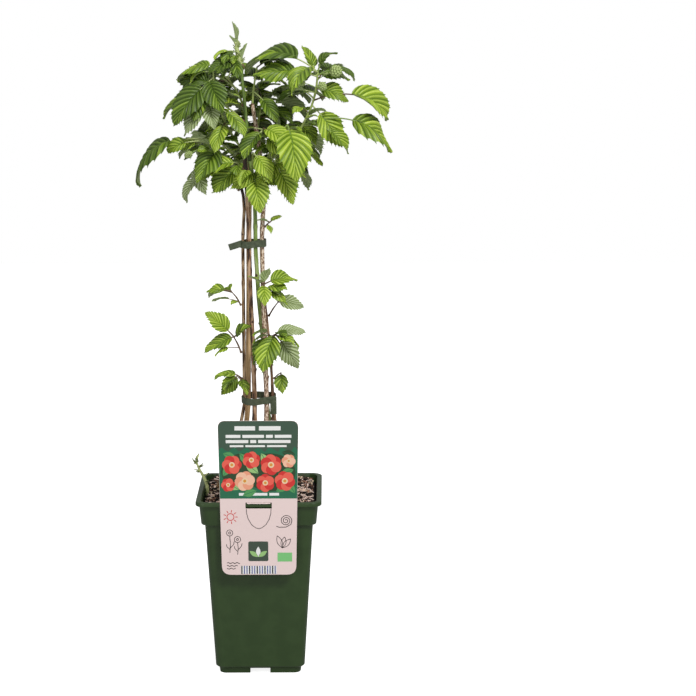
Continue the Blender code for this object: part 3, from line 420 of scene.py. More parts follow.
# The tints are partly the leaves' own colour, with young leaves yellower, and partly painted light: leaves
# that catch the light get the brighter tints and shaded ones the deeper tints, and the pale tint stands
# partly for a painted sheen.
MASS_TINTS = {
    "foliage_front": (0, 0), "foliage_front_left": (1, 0), "foliage_front_right": (0, 0),
    "foliage_tip": (2,), "foliage_upper_left": (1, 3, 2, 4, 1, 1, 3),
    "foliage_left": (2, 1, 1, 4, 2, 2), "foliage_centre_upper": (2, 2, 1, 3),
    "foliage_right_upper": (2, 1, 1, 3, 1, 0, 1, 3, 1, 0, 3, 2, 3), "foliage_centre": (0, 1, 0),
    "foliage_crown_left": (1, 3), "foliage_right": (1, 0, 2), "foliage_stem": (0,),
    "foliage_mid_left_upper": (1, 1, 0), "foliage_mid_left": (0, 1, 2),
    "foliage_mid_left_lower": (2, 1, 1), "foliage_mid_front": (0, 0, 1, 1),
    "foliage_mid_right_upper": (4, 2), "foliage_mid_right": (1, 4, 4, 2),
    "foliage_mid_right_lower": (1,),
}
BACK_TINTS = (2, 1, 2, 1, 2, 3)
FINE_TINTS = (0, 1, 1, 2, 1)
TINT_SHIFTS = (0, 0, 0, 1, -1)

# The pieces that the leaves are joined into
GROUPS = {
    "crown_left": ["foliage_upper_left", "foliage_left", "foliage_crown_left", "foliage_front_left",
                   "foliage_tip"],
    "crown_right": ["foliage_right_upper", "foliage_front_right", "foliage_right"],
    "crown_middle": ["foliage_front", "foliage_centre_upper", "foliage_centre"],
    "crown_back": list(BACK_MASSES),
    "middle": ["foliage_stem", "foliage_mid_left_upper", "foliage_mid_left", "foliage_mid_left_lower",
               "foliage_mid_front", "foliage_mid_right_upper", "foliage_mid_right",
               "foliage_mid_right_lower"],
}

# Finer twigs with small leaves, which grow in each mass's own space
FINE_TWIGS = 9
FINE_SIZES = (15, 27)
FINE_STALKS = (5, 14)
FINE_SHARES = (0.15, 1.0)
FINE_RISES = (-10, 45)
FINE_DROOPS = (30, 75)
FINE_ROLLS = (-20, 20)
FINE_SPACE = 0.002

# Stalks and laterals. The radii of stalks are in millimetres at the root and at the leaf.
MAIN_STALK = (0.95, 0.65)
FINE_STALK = (0.55, 0.4)
LEAFLET_STALK = dict(back=0.0008, ahead=0.002, radii=[0.0005, 0.0004])
STEM_TONES = dict(stalk_green=(0.25, 0.36, 0.09, 0.5), stalk_pale=(0.50, 0.58, 0.23, 0.5),
                  twig_pale=(0.38, 0.47, 0.13, 0.5), bud_brown=(0.20, 0.12, 0.07, 0.7),
                  stalk_brown=(0.15, 0.095, 0.055, 0.6))
STALK_SKINS = (0, 1, 1, 4)
KNOT_SPACING = 8
KNOT_SWELL = 0.16
KNOT_SPREAD = 1.5
TIP_SWELL = 2.0
TIP_BRACTS = 7
TIP_TONES = dict(tip_pale=(0.50, 0.57, 0.24, 0.55), tip_green=(0.36, 0.46, 0.14, 0.6),
                 tip_end=(0.30, 0.36, 0.13, 0.6))
SPROUT_TONES = dict(sprout_pale=(0.52, 0.58, 0.25, 0.55), bract_green=(0.34, 0.42, 0.15, 0.6),
                    bract_tip=(0.10, 0.11, 0.05, 0.7))
SPROUT_JOINTS = (0.010, 0.018, 0.025, 0.031)

# Berries: rings of drupelets from the stalk's end down, then sepals. Sizes are shares of the
# berry's radius, and angles are in degrees.
BERRY_TONES = dict(berry_green=(0.40, 0.50, 0.18, 0.5), sepal_green=(0.30, 0.42, 0.12, 0.6))
BERRY_STALK = 0.0005
DRUPELET_RINGS = 6
DRUPELET_LEANS = (18, 140)
DRUPELETS_ROUND = 11
DRUPELET_SIZE = 0.26
BERRY_SHAPE = (0.78, 0.78, 0.9)
SEPALS = 5
SEPAL_LENGTH = 1.5
SEPAL_WIDTH = 0.34
SEPAL_DROOP = 40
SEPAL_LIFT = 0.25

# Barks: tones, roughness, size of the mottling, how far it is drawn out along the cane, and bump
BARKS = {
    "bark_brown": ([(0.045, 0.022, 0.008), (0.27, 0.155, 0.070), (0.52, 0.37, 0.22)], 0.7, 420, 0.16, 0.5),
    "bark_tan": ([(0.44, 0.25, 0.10), (0.62, 0.39, 0.18), (0.76, 0.52, 0.27)], 0.65, 300, 0.03, 0.3),
    "bark_red_brown": ([(0.040, 0.018, 0.008), (0.28, 0.145, 0.070), (0.60, 0.40, 0.25)],
                       0.65, 300, 0.14, 0.5),
    "bark_green": ([(0.15, 0.24, 0.045), (0.25, 0.36, 0.085), (0.38, 0.48, 0.18)], 0.5, 200, 0.12, 0.15),
    "bark_pinkish": ([(0.15, 0.070, 0.035), (0.48, 0.32, 0.21), (0.88, 0.74, 0.59)], 0.65, 900, 0.35, 0.6),
    "bark_thin": ([(0.14, 0.065, 0.035), (0.42, 0.26, 0.15)], 0.7, 500, 0.08, 0.4),
    "bark_green_upper": ([(0.045, 0.080, 0.012), (0.090, 0.15, 0.024), (0.17, 0.26, 0.055)],
                         0.6, 200, 0.1, 0.2),
    # Painted shade: near-black bark where the canes run up into the shade of the crown.
    "bark_painted_shade_upper": ([(0.018, 0.010, 0.008), (0.050, 0.030, 0.020), (0.12, 0.075, 0.045)],
                        0.6, 380, 0.05, 0.5),
}

# What each cane wears: its bark, its number of prickles, and the bark that it turns to at a height, which on
# cane_1 and cane_3 is a painted shade where they run into the crown
CANE_SKINS = {
    "cane_1": dict(bark="bark_brown", prickles=30, upper=(0.497, "bark_painted_shade_upper")),
    "cane_2": dict(bark="bark_tan", prickles=0),
    "cane_3": dict(bark="bark_red_brown", prickles=90, upper=(0.503, "bark_painted_shade_upper")),
    "cane_4": dict(bark="bark_green", prickles=70, upper=(0.535, "bark_green_upper")),
    "cane_5": dict(bark="bark_pinkish", prickles=420),
    "cane_6": dict(bark="bark_thin", prickles=20),
    "cane_7": dict(bark="bark_thin", prickles=40),
}
CANE_SIDES = 16
CANE_SPACING = 0.0022
STRAIGHT_CANE = "cane_2"
FIRST_JOINT = (0.02, 0.04)
JOINT_SPACING = 0.052
JOINT_SWELL = 0.17
STRAIGHT_JOINT_SPACING = 0.13
STRAIGHT_JOINT_SWELL = 0.06
JOINT_LENGTH = 0.0028
BARK_WAVE = 0.012
BUD_SIZES = (0.5, 0.85)
BUD_SHAPE = (0.7, 0.7, 1.5)
PRICKLE_LENGTHS = (0.0005, 0.0010)
PRICKLE_RADII = [0.00022, 0.00004]

# Rounded edges of the pot, and the angle past which its edges stay sharp
POT_EDGE = 0.0007
POT_SHARP = 34
POT_TONES = [(0.021, 0.050, 0.008), (0.026, 0.058, 0.011)]

# Compost: fine rings across its top, a heap towards the back, and wood fibre and crumbs on it
COMPOST_HALF = 0.058
COMPOST_RINGS = 44
COMPOST_CORNER_STEPS = 8
HEAP_RISE = 0.005
HEAP_FOOT = 0.0020
HEAP_EDGE = 0.008
COMPOST_TONES = [(0.004, 0.003, 0.002), (0.012, 0.007, 0.005), (0.036, 0.021, 0.014)]
FIBRE_TONES = dict(fibre_dark=(0.012, 0.007, 0.005, 0.9), fibre_brown=(0.085, 0.040, 0.024, 0.85),
                   fibre_red=(0.40, 0.20, 0.13, 0.8), fibre_pink=(0.95, 0.74, 0.64, 0.8),
                   fibre_tan=(0.90, 0.70, 0.50, 0.8))
FIBRE_SHARES = (30, 22, 14, 20, 14)
FIBRES = 2300
FIBRE_LENGTHS = (0.004, 0.015)
FIBRE_RADII = (0.0004, 0.0010)
SHORT_FIBRE = 0.55
CRUMBS = 900
CRUMB_RADII = (0.0006, 0.0018)

# Straps
STRAP_TONES = [(0.052, 0.070, 0.036), (0.085, 0.105, 0.058)]
STRAP_STEPS = 96
STRAP_SLACK = 0.012
STRAP_LEAN = 0.10
STRAP_BEVEL = 0.6
TAIL_FACING = 0.9
TAIL_START = -0.22
TAIL_STEPS = 12
TAIL_BOW = 0.0008

# The label's print, in millimetres on the card: x from its middle and z up from the ground.
# A bar is given by its run of z and its runs of x, a blossom by its place, size and colour, a
# leaf by its foot, length and heading.
PRINT_INSET = 0.24
PRINT_FOLD_Z = 195.5
PRINT_PICTURE_Z = (247.0, 195.5)
PRINT_BARS = {(267.0, 271.4): [(-24, -3), (1, 23)],
              (259.2, 262.4): [(-33, -18), (-16, 6), (8, 15), (17, 34)],
              (253.8, 257.0): [(-33, -10), (-8, -2), (0, 33)],
              (249.6, 251.6): [(-29, -15), (-13, 7), (9, 29)],
              (198.6, 201.4): [(-20, -9), (-7, 9), (11, 21)]}
PRINT_FLOWERS = [(-27, 231, 10.5, "red"), (-7, 236, 9.5, "red"), (13, 231, 11.5, "red"),
                 (31, 235, 7.5, "salmon"), (-14, 214, 11.0, "salmon"), (7, 212, 10.0, "red"),
                 (27, 214, 11.0, "red"), (-31, 210, 7.5, "red")]
PRINT_SHADOWS = [(-16, 224, 22, 19), (12, 223, 26, 20)]
PRINT_PETALS = 6
PRINT_LEVEL = 0.00002
PRINT_LEAVES = [(-38, 221, 18, 20), (-19, 243, 14, -50), (0, 222, 17, 140), (3, 243, 16, -60),
                (20, 221, 17, 75), (36, 226, 14, 200), (20, 219, 16, -30), (-2, 204, 15, 200),
                (-20, 205, 16, 150), (-36, 219, 14, 60), (18, 203, 15, 30), (-36, 243, 14, -20),
                (24, 244, 14, -10), (-24, 224, 14, -20), (37, 201, 13, 120)]
PRINT_LEAF_WIDTH = 0.26
PRINT_TONGUE = [(-0.94, 0.4), (-0.92, 5), (-0.80, 11), (-0.55, 17), (-0.22, 20.5), (0, 21.2),
                (0.22, 20.5), (0.55, 17), (0.80, 11), (0.92, 5), (0.94, 0.4)]
PRINT_PEN = 1.5
PRINT_SQUARE = (-11.0, 129.0, 9.5, 150.0)
PRINT_SQUARE_CORNER = 1.8
PRINT_PATCH = (19.0, 128.5, 34.0, 138.0)
PRINT_STRIPES = (-19.0, 115.4, 18.0, 124.0)
PRINT_STRIPE_COUNT = 14
CARD_TONE = (0.86, 0.69, 0.665)
PRINT_TONES = dict(
    panel=(0.046, 0.092, 0.058), meadow=(0.014, 0.150, 0.070), leaf_light=(0.32, 0.56, 0.20),
    leaf_mid=(0.09, 0.33, 0.10), leaf_dark=(0.020, 0.060, 0.020), red=(0.66, 0.030, 0.026),
    red_light=(0.84, 0.120, 0.080), salmon=(0.86, 0.36, 0.22), salmon_light=(0.92, 0.55, 0.38),
    cream=(0.86, 0.66, 0.42), gold=(0.72, 0.30, 0.04), white=(0.88, 0.88, 0.86),
    ink=(0.020, 0.014, 0.016), ink_soft=(0.06, 0.045, 0.045), ink_blue=(0.17, 0.18, 0.36),
    emblem=(0.048, 0.075, 0.050), patch=(0.21, 0.58, 0.20))
PRINT_ROUGHNESS = 0.45

FLOOR_SIZE = 6.0

# Light, whose lamps are given by name, place, aim, size and power in watts
SURROUND_LIGHT = 0.44
FLOOR_GLOW = 0.85
LIGHTS = [("key", (1.1, -2.0, 2.6), (0, 0, 0.40), 0.8, 60.0),
          ("fill", (-1.6, -2.4, 0.9), (0, 0, 0.35), 1.6, 10.0)]


def new_collection(name):
    made = bpy.data.collections.new(name)
    bpy.context.scene.collection.children.link(made)
    return made


def mesh_object(name, bm, collection):
    """Put a bmesh into a new object."""
    mesh = bpy.data.meshes.new(name)
    bm.normal_update()
    bm.to_mesh(mesh)
    bm.free()
    made = bpy.data.objects.new(name, mesh)
    collection.objects.link(made)
    return made


def boolean(target, operation, other):
    """Join or cut a mesh object with another object or with a collection, and apply it."""
    modifier = target.modifiers.new("boolean", "BOOLEAN")
    modifier.operation = operation
    if isinstance(other, bpy.types.Collection):
        modifier.operand_type = "COLLECTION"
        modifier.collection = other
    else:
        modifier.object = other
    graph = bpy.context.evaluated_depsgraph_get()
    joined = bpy.data.meshes.new_from_object(target.evaluated_get(graph))
    target.modifiers.clear()
    target.data = joined


def smooth_path(points, steps):
    """A smooth curve through points, with steps stretches between each two.

    At each point the curve leans towards the shorter of its two runs, so that it never overshoots.
    """
    spans = [(end - start).length for start, end in zip(points, points[1:])]
    runs = [(end - start).normalized() for start, end in zip(points, points[1:])]
    slopes = [runs[0]]
    for index in range(1, len(runs)):
        before, after = spans[index - 1], spans[index]
        slopes.append((runs[index - 1] * after + runs[index] * before) / (before + after))
    slopes.append(runs[-1])
    path = []
    for index, span in enumerate(spans):
        start, end = points[index], points[index + 1]
        leave, arrive = slopes[index] * span, slopes[index + 1] * span
        for step in range(steps):
            t = step / steps
            path.append(start * (1 + 2 * t) * (1 - t) ** 2 + leave * t * (1 - t) ** 2
                        + end * t * t * (3 - 2 * t) - arrive * t * t * (1 - t))
    return path + [points[-1].copy()]


def rounded_square(width, radius, z, steps=CORNER_STEPS):
    """The corners of a square with rounded corners, anticlockwise."""
    centre = (width / 2 - radius) * math.sqrt(2)
    ring = []
    for quarter in range(4):
        middle = math.radians(90 * quarter + 45)
        for step in range(steps + 1):
            angle = math.radians(90 * quarter + 90 * step / steps)
            ring.append((centre * math.cos(middle) + radius * math.cos(angle),
                         centre * math.sin(middle) + radius * math.sin(angle), z))
    return ring


def square_loft(name, stations, collection):
    """A closed solid through rounded squares, given as (z, width, corner radius) from the foot up."""
    bm = bmesh.new()
    rings = [[bm.verts.new(point) for point in rounded_square(width, radius, z)]
             for z, width, radius in stations]
    for low, high in zip(rings, rings[1:]):
        for index, corner in enumerate(low):
            after = (index + 1) % len(low)
            bm.faces.new((corner, low[after], high[after], high[index]))
    bm.faces.new(list(reversed(rings[0])))
    bm.faces.new(rings[-1])
    return mesh_object(name, bm, collection)


def box(name, low, high, collection):
    bm = bmesh.new()
    bmesh.ops.create_cube(bm, size=1.0)
    size = [h - l for l, h in zip(low, high)]
    centre = [(h + l) / 2 for l, h in zip(low, high)]
    shape = Matrix.Translation(centre) @ Matrix.Diagonal((*size, 1.0))
    bmesh.ops.transform(bm, matrix=shape, verts=bm.verts)
    return mesh_object(name, bm, collection)


def cylinder(name, centre, radius, low, high, sides, collection):
    """An upright cylinder."""
    bm = bmesh.new()
    bmesh.ops.create_cone(bm, cap_ends=True, segments=sides, radius1=1.0, radius2=1.0, depth=high - low)
    shape = Matrix.Translation((*centre, (high + low) / 2)) @ Matrix.Diagonal((radius, radius, 1.0, 1.0))
    bmesh.ops.transform(bm, matrix=shape, verts=bm.verts)
    return mesh_object(name, bm, collection)


def collar_inner_width(z):
    """Width between the inner faces of the pot's collar at a height."""
    share = (z - INNER_STEP_Z) / (POT_HEIGHT - INNER_STEP_Z)
    return COLLAR_FOOT_WIDTH + (COLLAR_TOP_WIDTH - COLLAR_FOOT_WIDTH) * share - 2 * WALL


def tie_slot(tie, angle, radius):
    """Where a cane of a radius, in metres, stands inside a tie."""
    turn = math.radians(angle)
    x, y = tie["centre"]
    a, b = (half - radius - SLOT_CLEARANCE for half in tie["radii"])
    return Vector((x + a * math.cos(turn), y + b * math.sin(turn), tie["z"]))


def cane_path(cane):
    """A cane's smooth path, as points and radii in metres."""
    foot_radius, tip_radius = (value * MM for value in cane["radius"])
    x, y = (value * MM for value in cane["foot"])
    foot = COMPOST_TOP + GAP
    points = [Vector((x, y, foot)), Vector((x, y, foot + CANE_STRAIGHT_FOOT))]
    for tie, angle in zip(TIES.values(), cane["slots"]):
        if angle is not None:
            slot = tie_slot(tie, angle, foot_radius)
            points += [slot - Vector((0, 0, SLOT_RUN)), slot + Vector((0, 0, SLOT_RUN))]
    points += [Vector(point) * MM for point in cane["crown"]]
    path = [points[0]] + smooth_path(points[1:], CANE_STEPS)
    low, high = foot, points[-1].z
    radii = [foot_radius + (tip_radius - foot_radius) * (point.z - low) / (high - low) for point in path]
    return path, radii


def rounded_outline(corners):
    """The points of a polygon whose corners, given as (x, z, radius), are rounded."""
    outline = []
    for index, (x, z, radius) in enumerate(corners):
        here = Vector((x, z))
        before = Vector(corners[index - 1][:2])
        after = Vector(corners[(index + 1) % len(corners)][:2])
        enter = here + (before - here).normalized() * radius
        leave = here + (after - here).normalized() * radius
        for step in range(CORNER_POINTS):
            t = step / (CORNER_POINTS - 1)
            outline.append(tuple(enter * (1 - t) ** 2 + here * 2 * t * (1 - t) + leave * t * t))
    return outline


def direction(heading, rise):
    """The unit vector at a heading in plan and an angle above the level."""
    turn, climb = math.radians(heading), math.radians(rise)
    return Vector((math.cos(turn) * math.cos(climb), math.sin(turn) * math.cos(climb), math.sin(climb)))


def limb_path(start, heading, rises, length, steps):
    """A limb that climbs at the first rise at its foot and at the second at its tip."""
    path = [start.copy()]
    for step in range(steps):
        rise = rises[0] + (rises[1] - rises[0]) * (step + 0.5) / steps
        path.append(path[-1] + direction(heading, rise) * length / steps)
    return path


def along_path(path, share):
    """The point at a share of the way along a path of even steps."""
    place = min(share, 0.9999) * (len(path) - 1)
    index = int(place)
    return path[index].lerp(path[index + 1], place - index)


def leaf_outline(along):
    """Half width of a leaflet at a share of its length, where 1 is its widest."""
    rise, fall = OUTLINE_POWERS
    peak = rise / (rise + fall)
    return (along / peak) ** rise * ((1 - along) / (1 - peak)) ** fall


def leaflet(base, heading, rise, roll, spread, length, droop):
    """A leaflet's frame: its base, the ways it faces, its size and how far it bends down."""
    forward, up = direction(heading, rise), direction(heading, rise + 90)
    up = Matrix.Rotation(math.radians(roll), 3, forward) @ up
    forward = Matrix.Rotation(math.radians(spread), 3, up) @ forward
    return dict(base=base, forward=forward, up=up, left=up.cross(forward), length=length,
                half_width=length * LEAF_ASPECT / 2, droop=math.radians(max(droop, 1.0)))


def blade_point(blade, along, across, lift):
    """A point of a blade at shares of its length and half width, lifted off its middle surface."""
    turn = blade["droop"] * along
    ahead = blade["length"] * math.sin(turn) / blade["droop"]
    down = blade["length"] * (1 - math.cos(turn)) / blade["droop"]
    normal = blade["up"] * math.cos(turn) + blade["forward"] * math.sin(turn)
    side = blade["half_width"] * leaf_outline(along) * across
    fold = math.radians(LEAF_FOLD)
    return (blade["base"] + blade["forward"] * ahead - blade["up"] * down
            + blade["left"] * side * math.cos(fold) + normal * (abs(side) * math.sin(fold) + lift))


def blade_sheet(blade):
    """A blade's middle surface as points and faces, for testing clearances."""
    points = [blade_point(blade, along, across, 0.0) for along in SHEET_STATIONS for across in (-1, 0, 1)]
    faces = []
    for row in range(len(SHEET_STATIONS) - 1):
        for first in (row * 3, row * 3 + 1):
            faces.append((first, first + 1, first + 4, first + 3))
    return points, faces


def tube_sheet(path, radius):
    """A three-sided tube as points and faces, for testing clearances."""
    points, faces = [], []
    for index, point in enumerate(path):
        ahead = (path[min(index + 1, len(path) - 1)] - path[max(index - 1, 0)]).normalized()
        side = ahead.orthogonal().normalized()
        for corner in range(3):
            points.append(point + Matrix.Rotation(math.tau * corner / 3, 3, ahead) @ side * radius)
    for row in range(len(path) - 1):
        for corner in range(3):
            a, b = row * 3 + corner, row * 3 + (corner + 1) % 3
            faces.append((a, b, b + 3, a + 3))
    return points, faces


def measured(sheet):
    """A sheet's points, its middle, how far it reaches from there, and its search tree."""
    points, faces = sheet
    centre = sum(points, Vector()) / len(points)
    reach = max((point - centre).length for point in points)
    return points, centre, reach, BVHTree.FromPolygons(points, faces)


class Crowd:
    """What is already in place, so that each new leaf can be kept clear of it."""

    def __init__(self):
        self.pieces = []

    def add(self, owner, kind, sheet):
        self.pieces.append((owner, kind, *measured(sheet)))

    def clear(self, owner, kind, sheet):
        """Whether a piece lies clear of everything that it may not touch."""
        points, centre, reach, tree = measured(sheet)
        for other, other_kind, other_points, middle, size, other_tree in self.pieces:
            if other == owner and not (kind == "blade" and other_kind == "blade"):
                continue
            if (centre - middle).length > reach + size + LEAF_CLEARANCE:
                continue
            if tree.overlap(other_tree):
                return False
            if any(other_tree.find_nearest(point, LEAF_CLEARANCE)[0] for point in points):
                return False
            if any(tree.find_nearest(point, LEAF_CLEARANCE)[0] for point in other_points):
                return False
        return True


def leaf_parts(root, heading, rise, stalk, size, droop, roll, count):
    """A leaf's stalk, as a path, and its one or three leaflets. Sizes are in metres."""
    sag = STALK_SAG * stalk / MM / 2
    tilt = rise - sag
    path = limb_path(root, heading, (rise + sag, tilt), stalk, 2 if stalk < LONG_STALK else 3)
    hub = path[-1]
    end = hub if count == 1 else hub + direction(heading, tilt) * size * END_STALK_SHARE
    blades = [leaflet(end, heading, tilt, roll, 0.0, size, droop)]
    if count == 3:
        blades += [leaflet(hub, heading, tilt, roll, spread, size * SIDE_SHARE, droop * SIDE_SHARE)
                   for spread in (SIDE_SPREAD, -SIDE_SPREAD)]
    path.append(blade_point(blades[0], MIDRIB_SHARE, 0.0, 0.0))
    return path, blades


def leaf_choices(row):
    """A leaf as its row gives it, then turned a little, smaller, and with its end leaflet alone."""
    heading, rise, stalk, size, droop, roll = row[1:7]
    single = size < SINGLE_LEAF_SIZE or row[7:] == (1,)
    for count, shrink in LEAF_TRIES:
        if count == 3 and single:
            continue
        for turn, climb in TURNS:
            yield heading + turn, rise + climb, stalk * MM, size * shrink * MM, droop, roll, count


def place_leaf(crowd, owner, lateral, row):
    """The first choice of a leaf that is clear of everything, or None where nothing fits."""
    root = along_path(lateral, row[0])
    for choice in leaf_choices(row):
        path, blades = leaf_parts(root, *choice)
        stalk = tube_sheet(path, STALK_RADIUS * MM)
        if not crowd.clear(owner, "stalk", stalk):
            continue
        sheets = [blade_sheet(blade) for blade in blades]
        if all(crowd.clear(owner, "blade", sheet) for sheet in sheets):
            for sheet in sheets:
                crowd.add(owner, "blade", sheet)
            crowd.add(owner, "stalk", stalk)
            return path, blades
    return None


def lateral_start(mass, path, radii):
    """Where a mass's lateral leaves its cane: off the cane's tip, or off its side at a height."""
    radius = mass["radius"] * MM
    if mass["height"] is None:
        tip, before = path[-1], path[-2]
        return tip + (tip - before).normalized() * (GAP + START_SPARE)
    height = mass["height"] * MM
    index = next(i for i, point in enumerate(path) if point.z > height)
    low, high = path[index - 1], path[index]
    centre = low.lerp(high, (height - low.z) / (high.z - low.z))
    off = radii[index - 1] + GAP + START_SPARE + radius * abs(math.sin(math.radians(mass["rise"][0])))
    return centre + direction(mass["heading"], 0) * off


def seeded_rows(name, mass):
    """The leaves of a back lateral, dealt out round it by the golden angle."""
    rng = random.Random(f"{SEED} {name}")
    rows = []
    for index in range(BACK_LEAF_COUNT):
        share = BACK_FIRST_SHARE + (1 - BACK_FIRST_SHARE) * (index + 0.5) / BACK_LEAF_COUNT
        turn = (index * GOLDEN_ANGLE + 180) % 360 - 180
        heading = mass["heading"] + turn * BACK_SPREAD + rng.uniform(-BACK_JITTER, BACK_JITTER)
        rows.append((share, heading, rng.uniform(*BACK_LEAF_RISES), rng.uniform(*BACK_STALKS),
                     rng.uniform(*BACK_LEAF_SIZES), rng.uniform(*BACK_DROOPS),
                     rng.uniform(-BACK_ROLL, BACK_ROLL)))
    return rows[::-1]


def crowd_of_limbs(canes):
    """The canes and ties, which no leaf may touch."""
    crowd = Crowd()
    for name, (path, radii) in canes.items():
        crowd.add(name, "cane", tube_sheet(path, radii[0]))
    for name, tie in TIES.items():
        wider = dict(tie, radii=[half + TIE_CLEARANCE for half in tie["radii"]])
        ring = [tie_slot(wider, angle, -SLOT_CLEARANCE) for angle in range(0, 361, 20)]
        crowd.add(name, "tie", tube_sheet(ring, STRAP_HEIGHT * 0.6))
    return crowd


def grow():
    """Every mass's lateral, leaves and berries, each kept clear of the rest, and all as a crowd."""
    canes = {name: cane_path(cane) for name, cane in CANES.items()}
    crowd = crowd_of_limbs(canes)
    masses = dict(MASSES)
    for name, mass in BACK_MASSES.items():
        masses[name] = dict(mass, rise=BACK_RISE, radius=BACK_RADIUS, leaves=seeded_rows(name, mass))
    for name, mass in masses.items():
        start = lateral_start(mass, *canes[mass["cane"]])
        length = mass["length"] * MM
        steps = max(2, min(6, round(length / LATERAL_STEP)))
        lateral = limb_path(start, mass["heading"], mass["rise"], length, steps)
        masses[name] = dict(mass, lateral=lateral, placed=[], fruit=[])
        crowd.add(name, "lateral", tube_sheet(lateral, mass["radius"] * MM))
    for name, mass in masses.items():
        for row in mass["leaves"]:
            leaf = place_leaf(crowd, name, mass["lateral"], row)
            if leaf:
                mass["placed"].append(leaf)
        for share, heading, rise, stalk, radius in mass.get("berries", []):
            root = along_path(mass["lateral"], share)
            path = limb_path(root, heading, (rise + BERRY_SAG, rise - BERRY_SAG), stalk * MM, 3)
            mass["fruit"].append((path, radius * MM))
    return masses, crowd


def fine_rows(name, mass):
    """Further leaves for the finer twigs of a mass, smaller than its main ones."""
    rng = random.Random(f"{SEED} fine {name}")
    return [(rng.uniform(*FINE_SHARES), mass["heading"] + index * GOLDEN_ANGLE, rng.uniform(*FINE_RISES),
             rng.uniform(*FINE_STALKS), rng.uniform(*FINE_SIZES), rng.uniform(*FINE_DROOPS),
             rng.uniform(*FINE_ROLLS))
            for index in range(FINE_TWIGS)]


def grow_finer(masses, crowd):
    """Small leaves on finer twigs, wherever they find room inside their own mass's space."""
    for name, mass in masses.items():
        low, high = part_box(name)
        mass["fine"] = []
        for row in fine_rows(name, mass):
            leaf = place_leaf(crowd, name, mass["lateral"], row)
            if leaf and all(low[axis] - FINE_SPACE < point[axis] < high[axis] + FINE_SPACE
                            for blade in leaf[1] for point in blade_sheet(blade)[0] for axis in range(3)):
                mass["fine"].append(leaf)


class Heap:
    """Points and faces gathered from many small shapes, for one mesh."""

    def __init__(self):
        self.points, self.corners, self.sizes, self.skins = [], [], [], []
        self.start = self.count = 0

    def add(self, points, faces, skin=0):
        """Take in points and faces, which all have as many corners, with one skin or one for each."""
        points = np.asarray(points, dtype=float).reshape(-1, 3)
        self.points.append(points)
        self.start, self.count = self.count, self.count + len(points)
        self.more(faces, skin)

    def more(self, faces, skin=0):
        """Take in further faces, whose corners count from the last shape's first point."""
        faces = np.asarray(faces, dtype=np.int64)
        self.corners.append((faces + self.start).ravel())
        self.sizes.append(np.full(len(faces), faces.shape[1]))
        self.skins.append(np.broadcast_to(np.asarray(skin), len(faces)))

    def piece(self, name, skins, sharp=None):
        """The mesh as a piece that rides on the part, smooth, or sharp at edges past an angle."""
        mesh = bpy.data.meshes.new(name)
        points, corners = np.concatenate(self.points), np.concatenate(self.corners)
        sizes = np.concatenate(self.sizes)
        mesh.vertices.add(len(points))
        mesh.vertices.foreach_set("co", points.ravel())
        mesh.loops.add(len(corners))
        mesh.loops.foreach_set("vertex_index", corners)
        mesh.polygons.add(len(sizes))
        mesh.polygons.foreach_set("loop_start", np.cumsum(sizes) - sizes)
        mesh.polygons.foreach_set("material_index", np.concatenate(self.skins))
        for skin in skins:
            mesh.materials.append(skin)
        mesh.update(calc_edges=True)
        mesh.validate()
        mesh.shade_smooth()
        if sharp:
            mesh.set_sharp_from_angle(angle=math.radians(sharp))
        made = bpy.data.objects.new(name, mesh)
        bpy.context.scene.collection.objects.link(made)
        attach(made, "root")
        return made


def unit(vectors):
    return vectors / np.linalg.norm(vectors, axis=-1, keepdims=True)


def loft(heap, rings, ends, skin=0, downward=False):
    """A closed skin through rings of points, shut by a fan of triangles round a point at each end."""
    count, sides = len(rings), len(rings[0])
    number = np.arange(count * sides).reshape(count, sides)
    after = np.roll(number, -1, 1)
    quads = np.stack([number[:-1], after[:-1], after[1:], number[1:]], -1).reshape(-1, 4)
    foot = np.stack([after[0], number[0], np.full(sides, number.size)], 1)
    tip = np.stack([number[-1], after[-1], np.full(sides, number.size + 1)], 1)
    heap.add(np.concatenate([*rings, *ends]), quads[:, [0, 3, 2, 1]] if downward else quads, skin)
    for fan in (foot, tip):
        heap.more(fan[:, [1, 0, 2]] if downward else fan, skin)


def tube(heap, path, radii, sides=6, skin=0, relief=None):
    """A closed tube along a path, with a radius at each point and relief given for each ring and side."""
    path = np.array([tuple(point) for point in path])
    radii = np.broadcast_to(np.asarray(radii, dtype=float), len(path))
    relief = np.ones((len(path), sides)) if relief is None else relief
    ahead = unit(np.gradient(path, axis=0))
    side = np.array(Vector(ahead[0]).orthogonal().normalized())
    turns = math.tau * np.arange(sides) / sides
    rings = []
    for index, way in enumerate(ahead):
        side = side - way * side.dot(way)
        side /= np.linalg.norm(side)
        reach = radii[index] * relief[index]
        rings.append(path[index] + np.outer(np.cos(turns) * reach, side)
                     + np.outer(np.sin(turns) * reach, np.cross(way, side)))
    loft(heap, rings, [path[:1], path[-1:]], skin)


def ball(heap, centre, radii, skin=0, around=8, along=5, turn=None):
    """A closed round lump with a radius each way."""
    points = [(math.sin(a) * math.cos(b), math.sin(a) * math.sin(b), math.cos(a))
              for a in (math.pi * row / along for row in range(1, along))
              for b in (math.tau * column / around for column in range(around))]
    points = np.array(points + [(0, 0, 1), (0, 0, -1)]) * radii
    if turn is not None:
        points = points @ np.array(turn.to_3x3()).T
    points = points + np.array(centre)
    loft(heap, points[:-2].reshape(along - 1, around, 3), [points[-2:-1], points[-1:]], skin, True)


